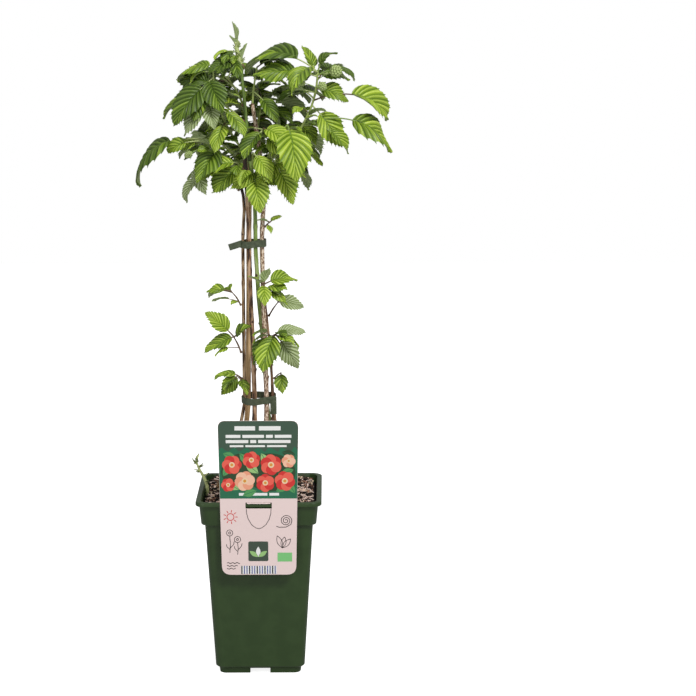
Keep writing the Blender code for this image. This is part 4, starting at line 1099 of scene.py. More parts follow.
def fine_blade(heap, blade, tint, rng, young=False):
    """A leaflet in full: pleated between its veins, toothed, and with its own underside."""
    length = blade["length"]
    veins = VEINS if length > SMALL_LEAFLET else FEW_VEINS
    phases = len(ROW_PHASES)
    index = np.arange(1, veins * phases)
    kind = index % phases
    row = (index // phases + np.array(ROW_PHASES)[kind]) / veins
    half = np.array(COLUMNS)
    across = np.concatenate([-half[:0:-1], half])[None, :]
    span, hand = np.abs(across), np.sign(across)
    column = np.abs(np.arange(len(across[0])) - (len(half) - 1))

    def spread(by_row, by_column):
        return np.array(by_row)[kind][:, None] * np.array(by_column)[column][None, :]

    start, end = row[:, None] ** VEIN_START_POWER, 1 - (1 - row[:, None]) ** VEIN_END_POWER
    width = leaf_outline(end) * (1 - TIP_TAPER * np.clip((end - 0.5) / 0.5, 0.0, 1.0))
    tooth = TOOTH * length * spread(ROW_TEETH, COLUMN_TEETH)
    tooth = tooth * np.minimum(1.0, width * TOOTH_FADE) * rng.uniform(*TOOTH_SIZES)
    reach = blade["half_width"] * (YOUNG_WIDTH if young else 1.0) * width * span + tooth * TOOTH_OUT
    along = start + (end - start) * span + tooth * TOOTH_AHEAD / length
    lead = math.radians(rng.uniform(*(YOUNG_FOLD if young else BLADE_FOLD)))
    trail = math.radians(rng.uniform(*EDGE_FOLD)) + (lead if young else 0.0)
    lean = lead + (trail - lead) * span
    flat = reach * (math.cos(lead) + np.cos(lean)) / 2
    rise = reach * (math.sin(lead) + np.sin(lean)) / 2
    bulge = PLEAT * length * spread(ROW_BULGE, COLUMN_BULGE) * np.minimum(1.0, PLEAT_FLOOR + width)
    phase = math.tau * (EDGE_WAVES * row[:, None] + rng.random())
    wave = EDGE_WAVE * length * np.sin(phase + hand) * span ** 2
    twist = math.radians(rng.uniform(-BLADE_TWIST, BLADE_TWIST)) * along * reach * hand
    lift = rise + bulge + wave + twist
    vein = (kind == 0)[:, None] * np.array(COLUMN_BULGE[::-1])[column][None, :]
    depth = np.where(span < 1.0, BLADE_THICKNESS, 0.0) + VEIN_RIDGE * vein * (span < VEIN_REACH)
    depth = depth + np.where(span == 0.0, VEIN_RIDGE, 0.0)
    bend = rng.uniform(-BLADE_BEND, BLADE_BEND)

    def place(share, sideways, up):
        turn = blade["droop"] * share ** DROOP_POWER
        frame_up, forward, left = (np.array(blade[key]) for key in ("up", "forward", "left"))
        ahead = length * np.sin(turn) / blade["droop"]
        down = length * (1 - np.cos(turn)) / blade["droop"]
        normal = frame_up * np.cos(turn)[..., None] + forward * np.sin(turn)[..., None]
        sideways = sideways + bend * length * share ** 2
        return (np.array(blade["base"]) + forward * ahead[..., None] - frame_up * down[..., None]
                + left * sideways[..., None] + normal * up[..., None])

    ends = place(np.array([0.0, TIP_REACH]), np.zeros(2), np.zeros(2))
    rows, columns = along.shape
    number = np.arange(rows * columns).reshape(rows, columns)
    quads = np.stack([number[:-1, :-1], number[:-1, 1:], number[1:, 1:], number[1:, :-1]], -1).reshape(-1, 4)
    # Vein rows and the midrib get a painted valley shade, ridge rows a painted highlight.
    shade, skins = strip_skins(tint, kind, column, index[:-1] // phases, veins, rng)
    base, tip = np.full(columns - 1, rows * columns), np.full(columns - 1, rows * columns + 1)
    fans = (np.stack([base, number[0, 1:], number[0, :-1]], 1),
            np.stack([tip, number[-1, :-1], number[-1, 1:]], 1))
    top = place(along, flat * hand, lift).reshape(-1, 3)
    heap.add(np.concatenate([top, ends]), quads, skins.ravel())
    for fan in fans:
        heap.more(fan, tint * len(STRIP_TONES_WITH_PAINTED_LIGHT) + 1)
    under = place(along, flat * hand, lift - depth).reshape(-1, 3)
    under_skins = np.where(shade == 0, UNDER + 1, UNDER).ravel()
    heap.add(np.concatenate([under, ends]), quads[:, [0, 3, 2, 1]], under_skins)
    for fan in fans:
        heap.more(fan[:, ::-1], UNDER)


def strip_skins(tint, kind, column, panel, veins, rng):
    """The painted shade or highlight of each face of a leaflet, and its skin: vein rows and the midrib take a
    painted valley shade, ridge rows a painted highlight, and a strip between veins may be darker or lighter.
    """
    middle = (column[:-1] + column[1:]) == 1
    shade = np.array([STRIP_TONES_WITH_PAINTED_LIGHT.index(name) for name in ROW_TONES_WITH_PAINTED_LIGHT])[kind[:-1]]
    # The midrib strip takes the painted valley shade too.
    shade = np.where(middle[None, :], STRIP_TONES_WITH_PAINTED_LIGHT.index("vein"), shade[:, None])
    along = panel / veins
    chance = np.random.default_rng(rng.getrandbits(32)).random((veins, 2))[panel]
    darker = chance < (BASE_DARKER * (1 - along) ** BASE_DARKER_POWER)[:, None]
    lighter = chance > 1 - (TIP_LIGHTER * along)[:, None]
    shift = darker * 1 - lighter * 1
    left_side = np.arange(len(column) - 1) < len(COLUMNS) - 1
    shift = np.where(left_side[None, :], shift[:, :1], shift[:, 1:])
    tints = np.full(shift.shape, tint) if tint == PALE else np.clip(tint + shift, 0, PALE - 1)
    return shade, tints * len(STRIP_TONES_WITH_PAINTED_LIGHT) + shade


def look(name, colour, roughness, **more):
    """A plain Principled material."""
    made = bpy.data.materials.new(name)
    made.use_nodes = True
    shader = made.node_tree.nodes["Principled BSDF"]
    shader.inputs["Base Color"].default_value = (*colour, 1.0)
    shader.inputs["Roughness"].default_value = roughness
    for key, value in more.items():
        shader.inputs[key.replace("_", " ")].default_value = value
    return made


def looks(tones):
    """Plain materials from their names, colours and roughness."""
    return [look(name, tone[:3], tone[3]) for name, tone in tones.items()]


def mottled(name, tones, roughness, scale, stretch, bump=0.0, detail=4.0):
    """A material whose colour wanders between tones, in spots or in streaks along Z."""
    made = look(name, tones[0], roughness)
    tree = made.node_tree
    shader = tree.nodes["Principled BSDF"]
    place = tree.nodes.new("ShaderNodeTexCoord")
    fit = tree.nodes.new("ShaderNodeMapping")
    fit.inputs["Scale"].default_value = (1.0, 1.0, stretch)
    spots = tree.nodes.new("ShaderNodeTexNoise")
    spots.inputs["Scale"].default_value = scale
    spots.inputs["Detail"].default_value = detail
    ramp = tree.nodes.new("ShaderNodeValToRGB")
    stops = ramp.color_ramp.elements
    stops.remove(stops[1])
    for index, tone in enumerate(tones):
        share = MOTTLE_START + MOTTLE_RANGE * index / (len(tones) - 1)
        stop = stops[0] if index == 0 else stops.new(share)
        stop.position = share
        stop.color = (*tone, 1.0)
    links = tree.links
    links.new(place.outputs["Object"], fit.inputs["Vector"])
    links.new(fit.outputs["Vector"], spots.inputs["Vector"])
    links.new(spots.outputs["Fac"], ramp.inputs["Fac"])
    links.new(ramp.outputs["Color"], shader.inputs["Base Color"])
    if bump:
        relief = tree.nodes.new("ShaderNodeBump")
        relief.inputs["Strength"].default_value = bump
        relief.inputs["Distance"].default_value = BUMP_DEPTH
        links.new(spots.outputs["Fac"], relief.inputs["Height"])
        links.new(relief.outputs["Normal"], shader.inputs["Normal"])
    return made


def leaf_skins():
    """Each tint's painted shade along its veins, its blade's own colour and its painted highlight along its
    ridges, then the underside's.
    """
    skins = [look(f"leaf_{tint}_{shade}", tone, 0.38, Specular_IOR_Level=0.30)
             for tint, row in zip(TINTS, LEAF_TONES_WITH_PAINTED_LIGHT) for shade, tone in zip(STRIP_TONES_WITH_PAINTED_LIGHT, row)]
    return skins + [look(name, tone, 0.7) for name, tone in UNDER_TONES.items()]


def dress_foliage(masses):
    """Leaves in a few large pieces, and every twig and stalk, in place of the foliage nodes."""
    skins = leaf_skins()
    twigs = Heap()
    for group, names in GROUPS.items():
        leaves = Heap()
        for name in names:
            dress_leaves(leaves, twigs, name, masses[name], group == "middle")
        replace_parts(leaves.piece("leaves_" + group, skins), *names)
    for name, mass in masses.items():
        line = smooth_path(mass["lateral"], 4)
        young = name == "foliage_tip"
        radius = mass["radius"] * MM * (TIP_SWELL if young else 1.0)
        taper = radius * (1 - LATERAL_TAPER * np.linspace(0, 1, len(line)))
        off_knot = (np.arange(len(line)) % KNOT_SPACING) - KNOT_SPACING / 2
        swell = 1 + KNOT_SWELL * np.exp(-off_knot ** 2 / KNOT_SPREAD)
        tube(twigs, line, taper * swell, 8, 1 if young else 4 if name in GROUPS["middle"] else 2)
        ball(twigs, line[0], (radius * 1.5, radius * 1.5, radius * 1.6), 3)
    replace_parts(twigs.piece("twigs", looks(STEM_TONES)), *masses)
    dress_berries(masses)


def dress_leaves(leaves, twigs, name, mass, brown):
    """A mass's leaves, main ones first, and their stalks."""
    rng = random.Random(f"{SEED} leaves {name}")
    tints = MASS_TINTS.get(name, BACK_TINTS)
    for number, (path, blades) in enumerate(mass["placed"] + mass["fine"]):
        main = number < len(mass["placed"])
        tint = tints[number % len(tints)] if main else rng.choice(FINE_TINTS)
        for blade in blades:
            shade = tint if tint == PALE else min(PALE - 1, max(0, tint + rng.choice(TINT_SHIFTS)))
            young = name == "foliage_tip" and blade["forward"].z > 0.5
            fine_blade(leaves, blade, PALE if young else shade, rng, young)
        line = smooth_path(path, 3)
        taper = np.linspace(*(MAIN_STALK if main else FINE_STALK), len(line)) * MM
        tube(twigs, line, taper, 6, 4 if brown else rng.choice(STALK_SKINS))
        for blade in blades[1:]:
            root, ahead = blade["base"], blade["forward"]
            ends = [root - ahead * LEAFLET_STALK["back"], root + ahead * LEAFLET_STALK["ahead"]]
            tube(twigs, ends, LEAFLET_STALK["radii"], 5)


def dress_berries(masses):
    """Unripe berries on their stalks."""
    berries = Heap()
    owners = set()
    for name, mass in masses.items():
        for path, size in mass["fruit"]:
            owners.add(name)
            tube(berries, smooth_path(path, 3), BERRY_STALK, 6, 1)
            dress_berry(berries, path, size)
    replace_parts(berries.piece("berries", looks(BERRY_TONES)), *sorted(owners))


def dress_berry(heap, path, size):
    """A berry at a stalk's end: rings of small round drupelets under five pointed sepals."""
    ahead = (path[-1] - path[-2]).normalized()
    turn = Vector((0, 0, 1)).rotation_difference(ahead).to_matrix()
    seat = path[-1] + ahead * size * BERRY_SEAT
    first, reach = DRUPELET_LEANS
    for row in range(DRUPELET_RINGS):
        lean = math.radians(first + reach * row / (DRUPELET_RINGS - 1))
        count = max(1, round(DRUPELETS_ROUND * math.sin(lean)))
        for index in range(count):
            angle = math.tau * (index + 0.5 * (row % 2)) / count
            out = (math.sin(lean) * math.cos(angle), math.sin(lean) * math.sin(angle), -math.cos(lean))
            place = seat + turn @ Vector([value * size * share for value, share in zip(out, BERRY_SHAPE)])
            ball(heap, place, (size * DRUPELET_SIZE,) * 3, 0, 7, 5)
    for index in range(SEPALS):
        heading = math.tau * index / SEPALS
        outward = turn @ Vector((math.cos(heading), math.sin(heading), SEPAL_LIFT)).normalized()
        sepal = dict(base=path[-1], forward=outward, up=-ahead, left=(-ahead).cross(outward),
                     length=size * SEPAL_LENGTH, half_width=size * SEPAL_WIDTH,
                     droop=math.radians(SEPAL_DROOP))
        plain_blade(heap, sepal, 1, 6)


def plain_blade(heap, blade, skin, rows=8, thickness=0.0004):
    """A small smooth pointed leaf with a fold along its middle, closed all round."""
    points, faces = [], []
    for side in (0, 1):
        for row in range(rows + 1):
            along = 0.02 + 0.96 * row / rows
            for across in (-1, 0, 1):
                lift = -side * thickness * (1 if across == 0 else 0.4)
                points.append(tuple(blade_point(blade, along, across, lift)))
    step = 3 * (rows + 1)
    for row in range(rows):
        left, right = row * 3, row * 3 + 2
        for a in (left, left + 1):
            faces.append((a, a + 1, a + 4, a + 3))
            faces.append((a + step + 3, a + step + 4, a + step + 1, a + step))
        faces.append((left + 3, left + 3 + step, left + step, left))
        faces.append((right, right + step, right + 3 + step, right + 3))
    for first in (0, rows * 3):
        for column in (first, first + 1):
            pair = (column, column + step, column + 1 + step, column + 1)
            faces.append(pair if first == 0 else pair[::-1])
    heap.add(points, faces, skin)


def even_path(path, radii, spacing):
    """A path carried finer, with points at an even spacing, and a radius for each."""
    fine = np.array([tuple(point) for point in path])
    runs = np.concatenate([[0.0], np.cumsum(np.linalg.norm(np.diff(fine, axis=0), axis=1))])
    marks = np.linspace(0, runs[-1], max(2, round(runs[-1] / spacing)))
    points = np.stack([np.interp(marks, runs, fine[:, axis]) for axis in range(3)], 1)
    return points, np.interp(marks, runs, radii), marks


def dress_canes():
    """Canes with their bark, joints, buds and prickles."""
    barks = {name: mottled(name, *row) for name, row in BARKS.items()}
    prickle = look("prickle_red", (0.20, 0.075, 0.055), 0.6)
    bud = look("bud_dark", (0.075, 0.032, 0.024), 0.6)
    for name, cane in CANES.items():
        rng = random.Random(f"{SEED} bark {name}")
        skin = CANE_SKINS[name]
        points, reach, marks = even_path(*cane_path(cane), CANE_SPACING)
        straight = name == STRAIGHT_CANE
        spacing = STRAIGHT_JOINT_SPACING if straight else JOINT_SPACING
        joints = np.arange(rng.uniform(*FIRST_JOINT), marks[-1], spacing)
        relief = bark_relief(marks, joints, STRAIGHT_JOINT_SWELL if straight else JOINT_SWELL, rng)
        heap = Heap()
        skins = [barks[skin["bark"]], prickle, bud]
        split = len(points)
        # Above the height, the upper bark: a painted shade on cane_1 and cane_3, a darker green on cane_4.
        if "upper" in skin:
            split = int(np.searchsorted(points[:, 2], skin["upper"][0]))
            skins.append(barks[skin["upper"][1]])
        tube(heap, points[:split + 1], reach[:split + 1], CANE_SIDES, 0, relief[:split + 1])
        if split < len(points) - 1:
            tube(heap, points[split:], reach[split:], CANE_SIDES, 3, relief[split:])
        for joint in () if straight else joints[:-1]:
            add_bud(heap, points, reach, int(joint / marks[-1] * (len(points) - 1)), rng)
        for _ in range(skin["prickles"]):
            add_prickle(heap, points, reach, rng)
        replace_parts(heap.piece(name + "_bark", skins), name)


def bark_relief(marks, joints, swell, rng):
    """A cane's relief for each ring and side: a swelling at each joint, and low waves."""
    relief = np.ones((len(marks), CANE_SIDES))
    for joint in joints:
        relief += swell * np.exp(-((marks - joint) / JOINT_LENGTH) ** 2)[:, None]
    turn = np.arange(CANE_SIDES) / CANE_SIDES * math.tau
    for wave in range(2, 6):
        drift = rng.uniform(0, 40)
        relief += BARK_WAVE * np.sin(wave * turn[None, :] + drift + marks[:, None] * rng.uniform(-30, 30))
    return relief


def add_bud(heap, points, reach, at, rng):
    out = direction(rng.uniform(0, 360), 20)
    ahead = Vector(points[min(at + 1, len(points) - 1)] - points[at]).normalized()
    root = Vector(points[at]) + out * reach[at] * 0.9
    lean = (out + ahead * 1.2).normalized()
    size = rng.uniform(*BUD_SIZES) * reach[at]
    spin = Vector((0, 0, 1)).rotation_difference(lean).to_matrix()
    ball(heap, root, [size * share for share in BUD_SHAPE], 2, 8, 6, spin)


def add_prickle(heap, points, reach, rng):
    at = rng.randrange(1, len(points) - 2)
    ahead = Vector(points[at + 1] - points[at]).normalized()
    out = Vector([rng.gauss(0, 1) for _ in range(3)]).cross(ahead).normalized()
    root = Vector(points[at]) + out * reach[at] * 0.96
    tip = root + (out - ahead * rng.uniform(0.0, 0.5)) * rng.uniform(*PRICKLE_LENGTHS)
    tube(heap, [root, tip], PRICKLE_RADII, 4, 1)


def pot_outside():
    """The pot's outside from the foot up, as (z, width, corner radius): foot ring, body, collar, lip."""
    r, soft = CORNER_RADIUS, POT_EDGE
    rim_z = POT_HEIGHT - RIM_DEPTH
    return [
        (0.0, FOOT_WIDTH - soft, r * 0.7), (soft, FOOT_WIDTH, r * 0.7),
        (FOOT_HEIGHT, FOOT_WIDTH + FOOT_FLARE, r * 0.7),
        (FOOT_HEIGHT + FOOT_SHOULDER * 0.6, BODY_FOOT_WIDTH - 0.0022, r * 0.85),
        (FOOT_HEIGHT + FOOT_SHOULDER, BODY_FOOT_WIDTH, r * 0.9),
        (COLLAR_FOOT_Z - 2 * soft, BODY_TOP_WIDTH, r), (COLLAR_FOOT_Z, BODY_TOP_WIDTH, r),
        (COLLAR_FOOT_Z, COLLAR_FOOT_WIDTH - 2.4 * soft, r),
        (COLLAR_FOOT_Z + soft * 0.4, COLLAR_FOOT_WIDTH - soft, r),
        (COLLAR_FOOT_Z + 1.4 * soft, COLLAR_FOOT_WIDTH, r),
        (rim_z - 2 * soft, COLLAR_TOP_WIDTH, r), (rim_z, COLLAR_TOP_WIDTH + soft, r),
        (rim_z, RIM_WIDTH - 2 * soft, r), (rim_z + soft, RIM_WIDTH, r),
        (POT_HEIGHT - 1.6 * soft, RIM_WIDTH, r), (POT_HEIGHT - 0.5 * soft, RIM_WIDTH - soft, r),
        (POT_HEIGHT, RIM_WIDTH - 3 * soft, r)]


def pot_inside():
    """The pot's hollow from the floor up, which opens a little at the lip."""
    inner, soft = CORNER_RADIUS - WALL, POT_EDGE
    above = POT_HEIGHT + 0.010
    return [
        (FOOT_HEIGHT + FLOOR_THICKNESS, BODY_FOOT_WIDTH - 2 * WALL, inner * 0.9),
        (INNER_STEP_Z - WALL, BODY_TOP_WIDTH - 2 * WALL, inner),
        (INNER_STEP_Z, collar_inner_width(INNER_STEP_Z), inner),
        (POT_HEIGHT - soft, collar_inner_width(POT_HEIGHT - soft), inner),
        (POT_HEIGHT + soft, collar_inner_width(POT_HEIGHT) + 3 * soft, inner),
        (above, collar_inner_width(above) + 3 * soft, inner)]


def pot_gaps(home):
    """What is cut out of the foot: a gap in each side of its ring, and the drain holes."""
    half, near, far = FOOT_GAP / 2, FOOT_GAP_START, RIM_WIDTH
    for side in (-1, 1):
        low, high = sorted((side * near, side * far))
        box("gap_x", (low, -half, -CUT_SPARE), (high, half, FOOT_HEIGHT), home)
        box("gap_y", (-half, low, -CUT_SPARE), (half, high, FOOT_HEIGHT), home)
    for x in (-DRAIN_OFFSET, DRAIN_OFFSET):
        for y in (-DRAIN_OFFSET, DRAIN_OFFSET):
            cylinder("drain", (x, y), DRAIN_RADIUS, -CUT_SPARE, 2 * (FOOT_HEIGHT + FLOOR_THICKNESS), 24, home)


def dress_pot():
    """The square pot with rounded edges: a tapering body under a collar and a lip, on a foot ring."""
    home, cutters, gaps = (new_collection(name) for name in ("pot_looks", "pot_cutters", "pot_gaps"))
    made = square_loft("pot_fine", pot_outside(), home)
    under = [(z, FOOT_WIDTH - 2 * FOOT_WALL, CORNER_RADIUS * 0.4) for z in (-CUT_SPARE, FOOT_HEIGHT)]
    pad_top = FOOT_HEIGHT + FLOOR_THICKNESS - 0.0005
    pot_gaps(gaps)
    boolean(made, "DIFFERENCE", square_loft("pot_hollow", pot_inside(), cutters))
    boolean(made, "DIFFERENCE", square_loft("pot_under", under, cutters))
    boolean(made, "UNION", cylinder("pot_pad", (0, 0), CENTRE_FOOT_RADIUS, 0.0, pad_top, 32, cutters))
    boolean(made, "DIFFERENCE", gaps)
    for used in (cutters, gaps):
        for old in list(used.objects):
            bpy.data.objects.remove(old, do_unlink=True)
        bpy.data.collections.remove(used)
    made.data.materials.clear()
    made.data.materials.append(mottled("pot_green_fine", POT_TONES, 0.42, 60, 1.0, 0.0, 2.0))
    made.data.shade_smooth()
    made.data.set_sharp_from_angle(angle=math.radians(POT_SHARP))
    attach(made, "root")
    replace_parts(made, "pot")


def compost_heap(x, y):
    """How far the compost lies above its flat, heaped a little towards the back."""
    edge = min(1.0, (COMPOST_HALF - max(abs(x), abs(y))) / HEAP_EDGE)
    back = min(1.0, max(0.0, 0.5 + y / (2 * COMPOST_HALF)))
    return max(0.0, edge) * (HEAP_FOOT + HEAP_RISE * back)


def compost_ring(width, radius, z):
    return np.array(rounded_square(width, radius, z, COMPOST_CORNER_STEPS))


def dress_compost():
    """Crumbly compost in the compost's place, strewn with wood fibre and crumbs."""
    edge_z = COMPOST_TOP - COMPOST_EDGE_DROP
    r = CORNER_RADIUS - WALL
    rings = [compost_ring(BODY_FOOT_WIDTH - 2 * (WALL + GAP), r * 0.9, FOOT_HEIGHT + FLOOR_THICKNESS + GAP),
             compost_ring(BODY_TOP_WIDTH - 2 * (WALL + GAP), r, INNER_STEP_Z - WALL + GAP),
             compost_ring(collar_inner_width(INNER_STEP_Z) - 2 * GAP, r, INNER_STEP_Z + GAP),
             compost_ring(collar_inner_width(edge_z) - 2 * GAP, r, edge_z)]
    width = collar_inner_width(COMPOST_TOP) - 2 * GAP
    for step in range(1, COMPOST_RINGS):
        inward = step / COMPOST_RINGS
        side = width * (1 - inward)
        ring = compost_ring(side, min(r, side * 0.4) * (1 - inward * 0.5), COMPOST_TOP)
        for point in ring:
            rough = noise.noise(Vector(point) * 260) * 0.0011 + noise.noise(Vector(point) * 70) * 0.0012
            point[2] += rough * min(1.0, inward * 8) - 0.0004 + compost_heap(point[0], point[1])
        rings.append(ring)
    heap = Heap()
    loft(heap, rings, [ring.mean(0)[None, :] for ring in (rings[0], rings[-1])])
    soil = mottled("compost_dark", COMPOST_TONES, 0.95, 700, 1.0, 0.8)
    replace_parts(heap.piece("compost_top", [soil]), "compost")
    strewn = Heap()
    strew(strewn, width / 2 - 0.004)
    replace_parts(strewn.piece("compost_fibres", looks(FIBRE_TONES), sharp=40), "compost")


def strew(heap, reach):
    """Wood fibre and crumbs over the compost, out to a reach from its middle."""
    rng = random.Random(f"{SEED} fibres")
    for index in range(FIBRES):
        x, y = rng.uniform(-reach, reach), rng.uniform(-reach, reach)
        length = rng.uniform(*FIBRE_LENGTHS) * (SHORT_FIBRE if index % 3 else 1.0)
        thick = rng.uniform(*FIBRE_RADII)
        way = direction(rng.uniform(0, 360), rng.gauss(0, 16))
        base = Vector((x, y, COMPOST_TOP + compost_heap(x, y) + rng.uniform(-0.0006, 0.0022)))
        ends = [base - way * length / 2, base + way * length / 2]
        if any(abs(end.x) > reach + 0.002 or abs(end.y) > reach + 0.002 for end in ends):
            continue
        bend = Vector((rng.gauss(0, 1), rng.gauss(0, 1), abs(rng.gauss(0, 0.6)))) * length * 0.07
        skin = rng.choices(range(len(FIBRE_SHARES)), FIBRE_SHARES)[0]
        tube(heap, [ends[0], base + bend, ends[1]], [thick * 0.5, thick, thick * 0.4], 4, skin)
    for _ in range(CRUMBS):
        x, y = rng.uniform(-reach, reach), rng.uniform(-reach, reach)
        size = rng.uniform(*CRUMB_RADII)
        place = (x, y, COMPOST_TOP + compost_heap(x, y) + rng.uniform(-0.0004, 0.0008))
        ball(heap, place, (size, size * rng.uniform(0.6, 1.0), size * 0.6), rng.choice((0, 0, 1)), 6, 4)


def ribbon(heap, path, ups, width, thickness, closed=False):
    """A flat strap along a path, whose broad side stands along ups."""
    path, ups = np.array(path), unit(np.array(ups))
    ahead = np.roll(path, -1, 0) - np.roll(path, 1, 0) if closed else np.gradient(path, axis=0)
    out = unit(np.cross(unit(ahead), ups))
    half, deep = width / 2, thickness / 2
    bevel = deep * STRAP_BEVEL
    edge = [(half, deep - bevel), (half - bevel, deep), (-half + bevel, deep), (-half, deep - bevel)]
    section = edge + [(-high, -wide) for high, wide in edge]
    points = np.stack([path + ups * high + out * wide for high, wide in section], 1).reshape(-1, 3)
    number = np.arange(len(points)).reshape(len(path), len(section))
    low, high = (number, np.roll(number, -1, 0)) if closed else (number[:-1], number[1:])
    faces = np.stack([low, high, np.roll(high, -1, 1), np.roll(low, -1, 1)], -1).reshape(-1, 4)
    heap.add(points, faces)
    if not closed:
        heap.more([number[0]])
        heap.more([number[-1][::-1]])


def dress_ties():
    """The straps round the canes, each a slack loop with a short free end."""
    strap = mottled("strap_green_fine", STRAP_TONES, 0.55, 220, 1.0, 0.2)
    for name, tie in TIES.items():
        phase = random.Random(f"{SEED} strap {name}").uniform(0, 6)
        middle = [half + STRAP_THICKNESS / 2 for half in tie["radii"]]
        x, y = tie["centre"]
        ring, ups = [], []
        for turn in (math.tau * step / STRAP_STEPS for step in range(STRAP_STEPS)):
            slack = 1 + STRAP_SLACK * math.sin(3 * turn + phase)
            lift = 0.0009 * math.sin(turn + phase) + 0.0004 * math.sin(4 * turn)
            ring.append((x + middle[0] * slack * math.cos(turn), y + middle[1] * slack * math.sin(turn),
                         tie["z"] + lift))
            ups.append((STRAP_LEAN * math.cos(turn + phase), STRAP_LEAN * math.sin(turn + phase), 1.0))
        heap = Heap()
        ribbon(heap, ring, ups, STRAP_HEIGHT * 0.92, STRAP_THICKNESS, closed=True)
        angle, lean, length = tie["tail"]
        turn = math.radians(angle)
        place = Vector((x + (middle[0] + STRAP_THICKNESS) * math.cos(turn),
                        y + (middle[1] + STRAP_THICKNESS) * math.sin(turn), tie["z"]))
        facing = turn + TAIL_FACING * (-math.pi / 2 - turn)
        swing = Matrix.Rotation(facing + math.pi / 2, 3, "Z") @ Matrix.Rotation(math.radians(lean), 3, "Y")
        down, across = swing @ Vector((0, 0, -1)), swing @ Vector((1, 0, 0))
        outward = down.cross(across)
        tail = [tuple(place + down * (length * share) + outward * TAIL_BOW * math.sin(2.6 * share))
                for share in np.linspace(TAIL_START, 1.0, TAIL_STEPS)]
        ribbon(heap, tail, [tuple(across)] * len(tail), TAIL_WIDTH, STRAP_THICKNESS)
        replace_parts(heap.piece(name + "_strap", [strap], sharp=35), name)


def plate(heap, outline, y, thickness, skin=0, holes=()):
    """A flat plate facing the front, from an outline of (x, z) points and its holes."""
    loops = [outline, *holes]
    flat = [Vector((x, z, 0.0)) for loop in loops for x, z in loop]
    front = [(point.x, y, point.y) for point in flat]
    back = [(point.x, y + thickness, point.y) for point in flat]
    facing = []
    for a, b, c in tessellate_polygon([[Vector((x, z, 0.0)) for x, z in loop] for loop in loops]):
        turn = (flat[b] - flat[a]).cross(flat[c] - flat[a]).z
        facing.append((a, b, c) if turn > 0 else (a, c, b))
    facing = np.array(facing)
    heap.add(front + back, facing, skin)
    if not thickness:
        return
    count = len(flat)
    heap.more(facing[:, ::-1] + count, skin)
    first = 0
    for number, loop in enumerate(loops):
        size = len(loop)
        area = sum(x0 * z1 - x1 * z0 for (x0, z0), (x1, z1) in zip(loop, [*loop[1:], loop[0]]))
        onward = (area > 0) == (number == 0)
        for index in range(size):
            a, b = first + index, first + (index + 1) % size
            heap.more([(b, a, a + count, b + count) if onward else (a, b, b + count, a + count)], skin)
        first += size


def rectangle(x0, z0, x1, z1):
    return [(x0, z0), (x1, z0), (x1, z1), (x0, z1)]


def disc(x, z, radius_x, radius_z, count):
    turns = [math.tau * step / count for step in range(count)]
    return [(x + radius_x * math.cos(turn), z + radius_z * math.sin(turn)) for turn in turns]


def almond(x, z, heading, length, half_width, steps):
    """A pointed leaf from its foot, along a heading, as one outline."""
    turn = math.radians(heading)
    way = Vector((math.cos(turn), math.sin(turn)))
    side = Vector((-way.y, way.x)) * half_width
    out = [Vector((x, z)) + way * (length * t) for t in np.linspace(0, 1, steps)]
    bow = [side * math.sin(math.pi * t) for t in np.linspace(0, 1, steps)]
    near, far = ([tuple(point + sign * off) for point, off in zip(out, bow)] for sign in (1, -1))
    return near + far[-2:0:-1]


def stroke(points, width):
    """A line drawn with a pen of a width, as one outline."""
    points = [Vector(point) for point in points]
    left, right = [], []
    for index, point in enumerate(points):
        ahead = (points[min(index + 1, len(points) - 1)] - points[max(index - 1, 0)]).normalized()
        side = Vector((-ahead.y, ahead.x)) * width / 2
        left.append(point + side)
        right.append(point - side)
    return [tuple(point) for point in left + right[::-1]]


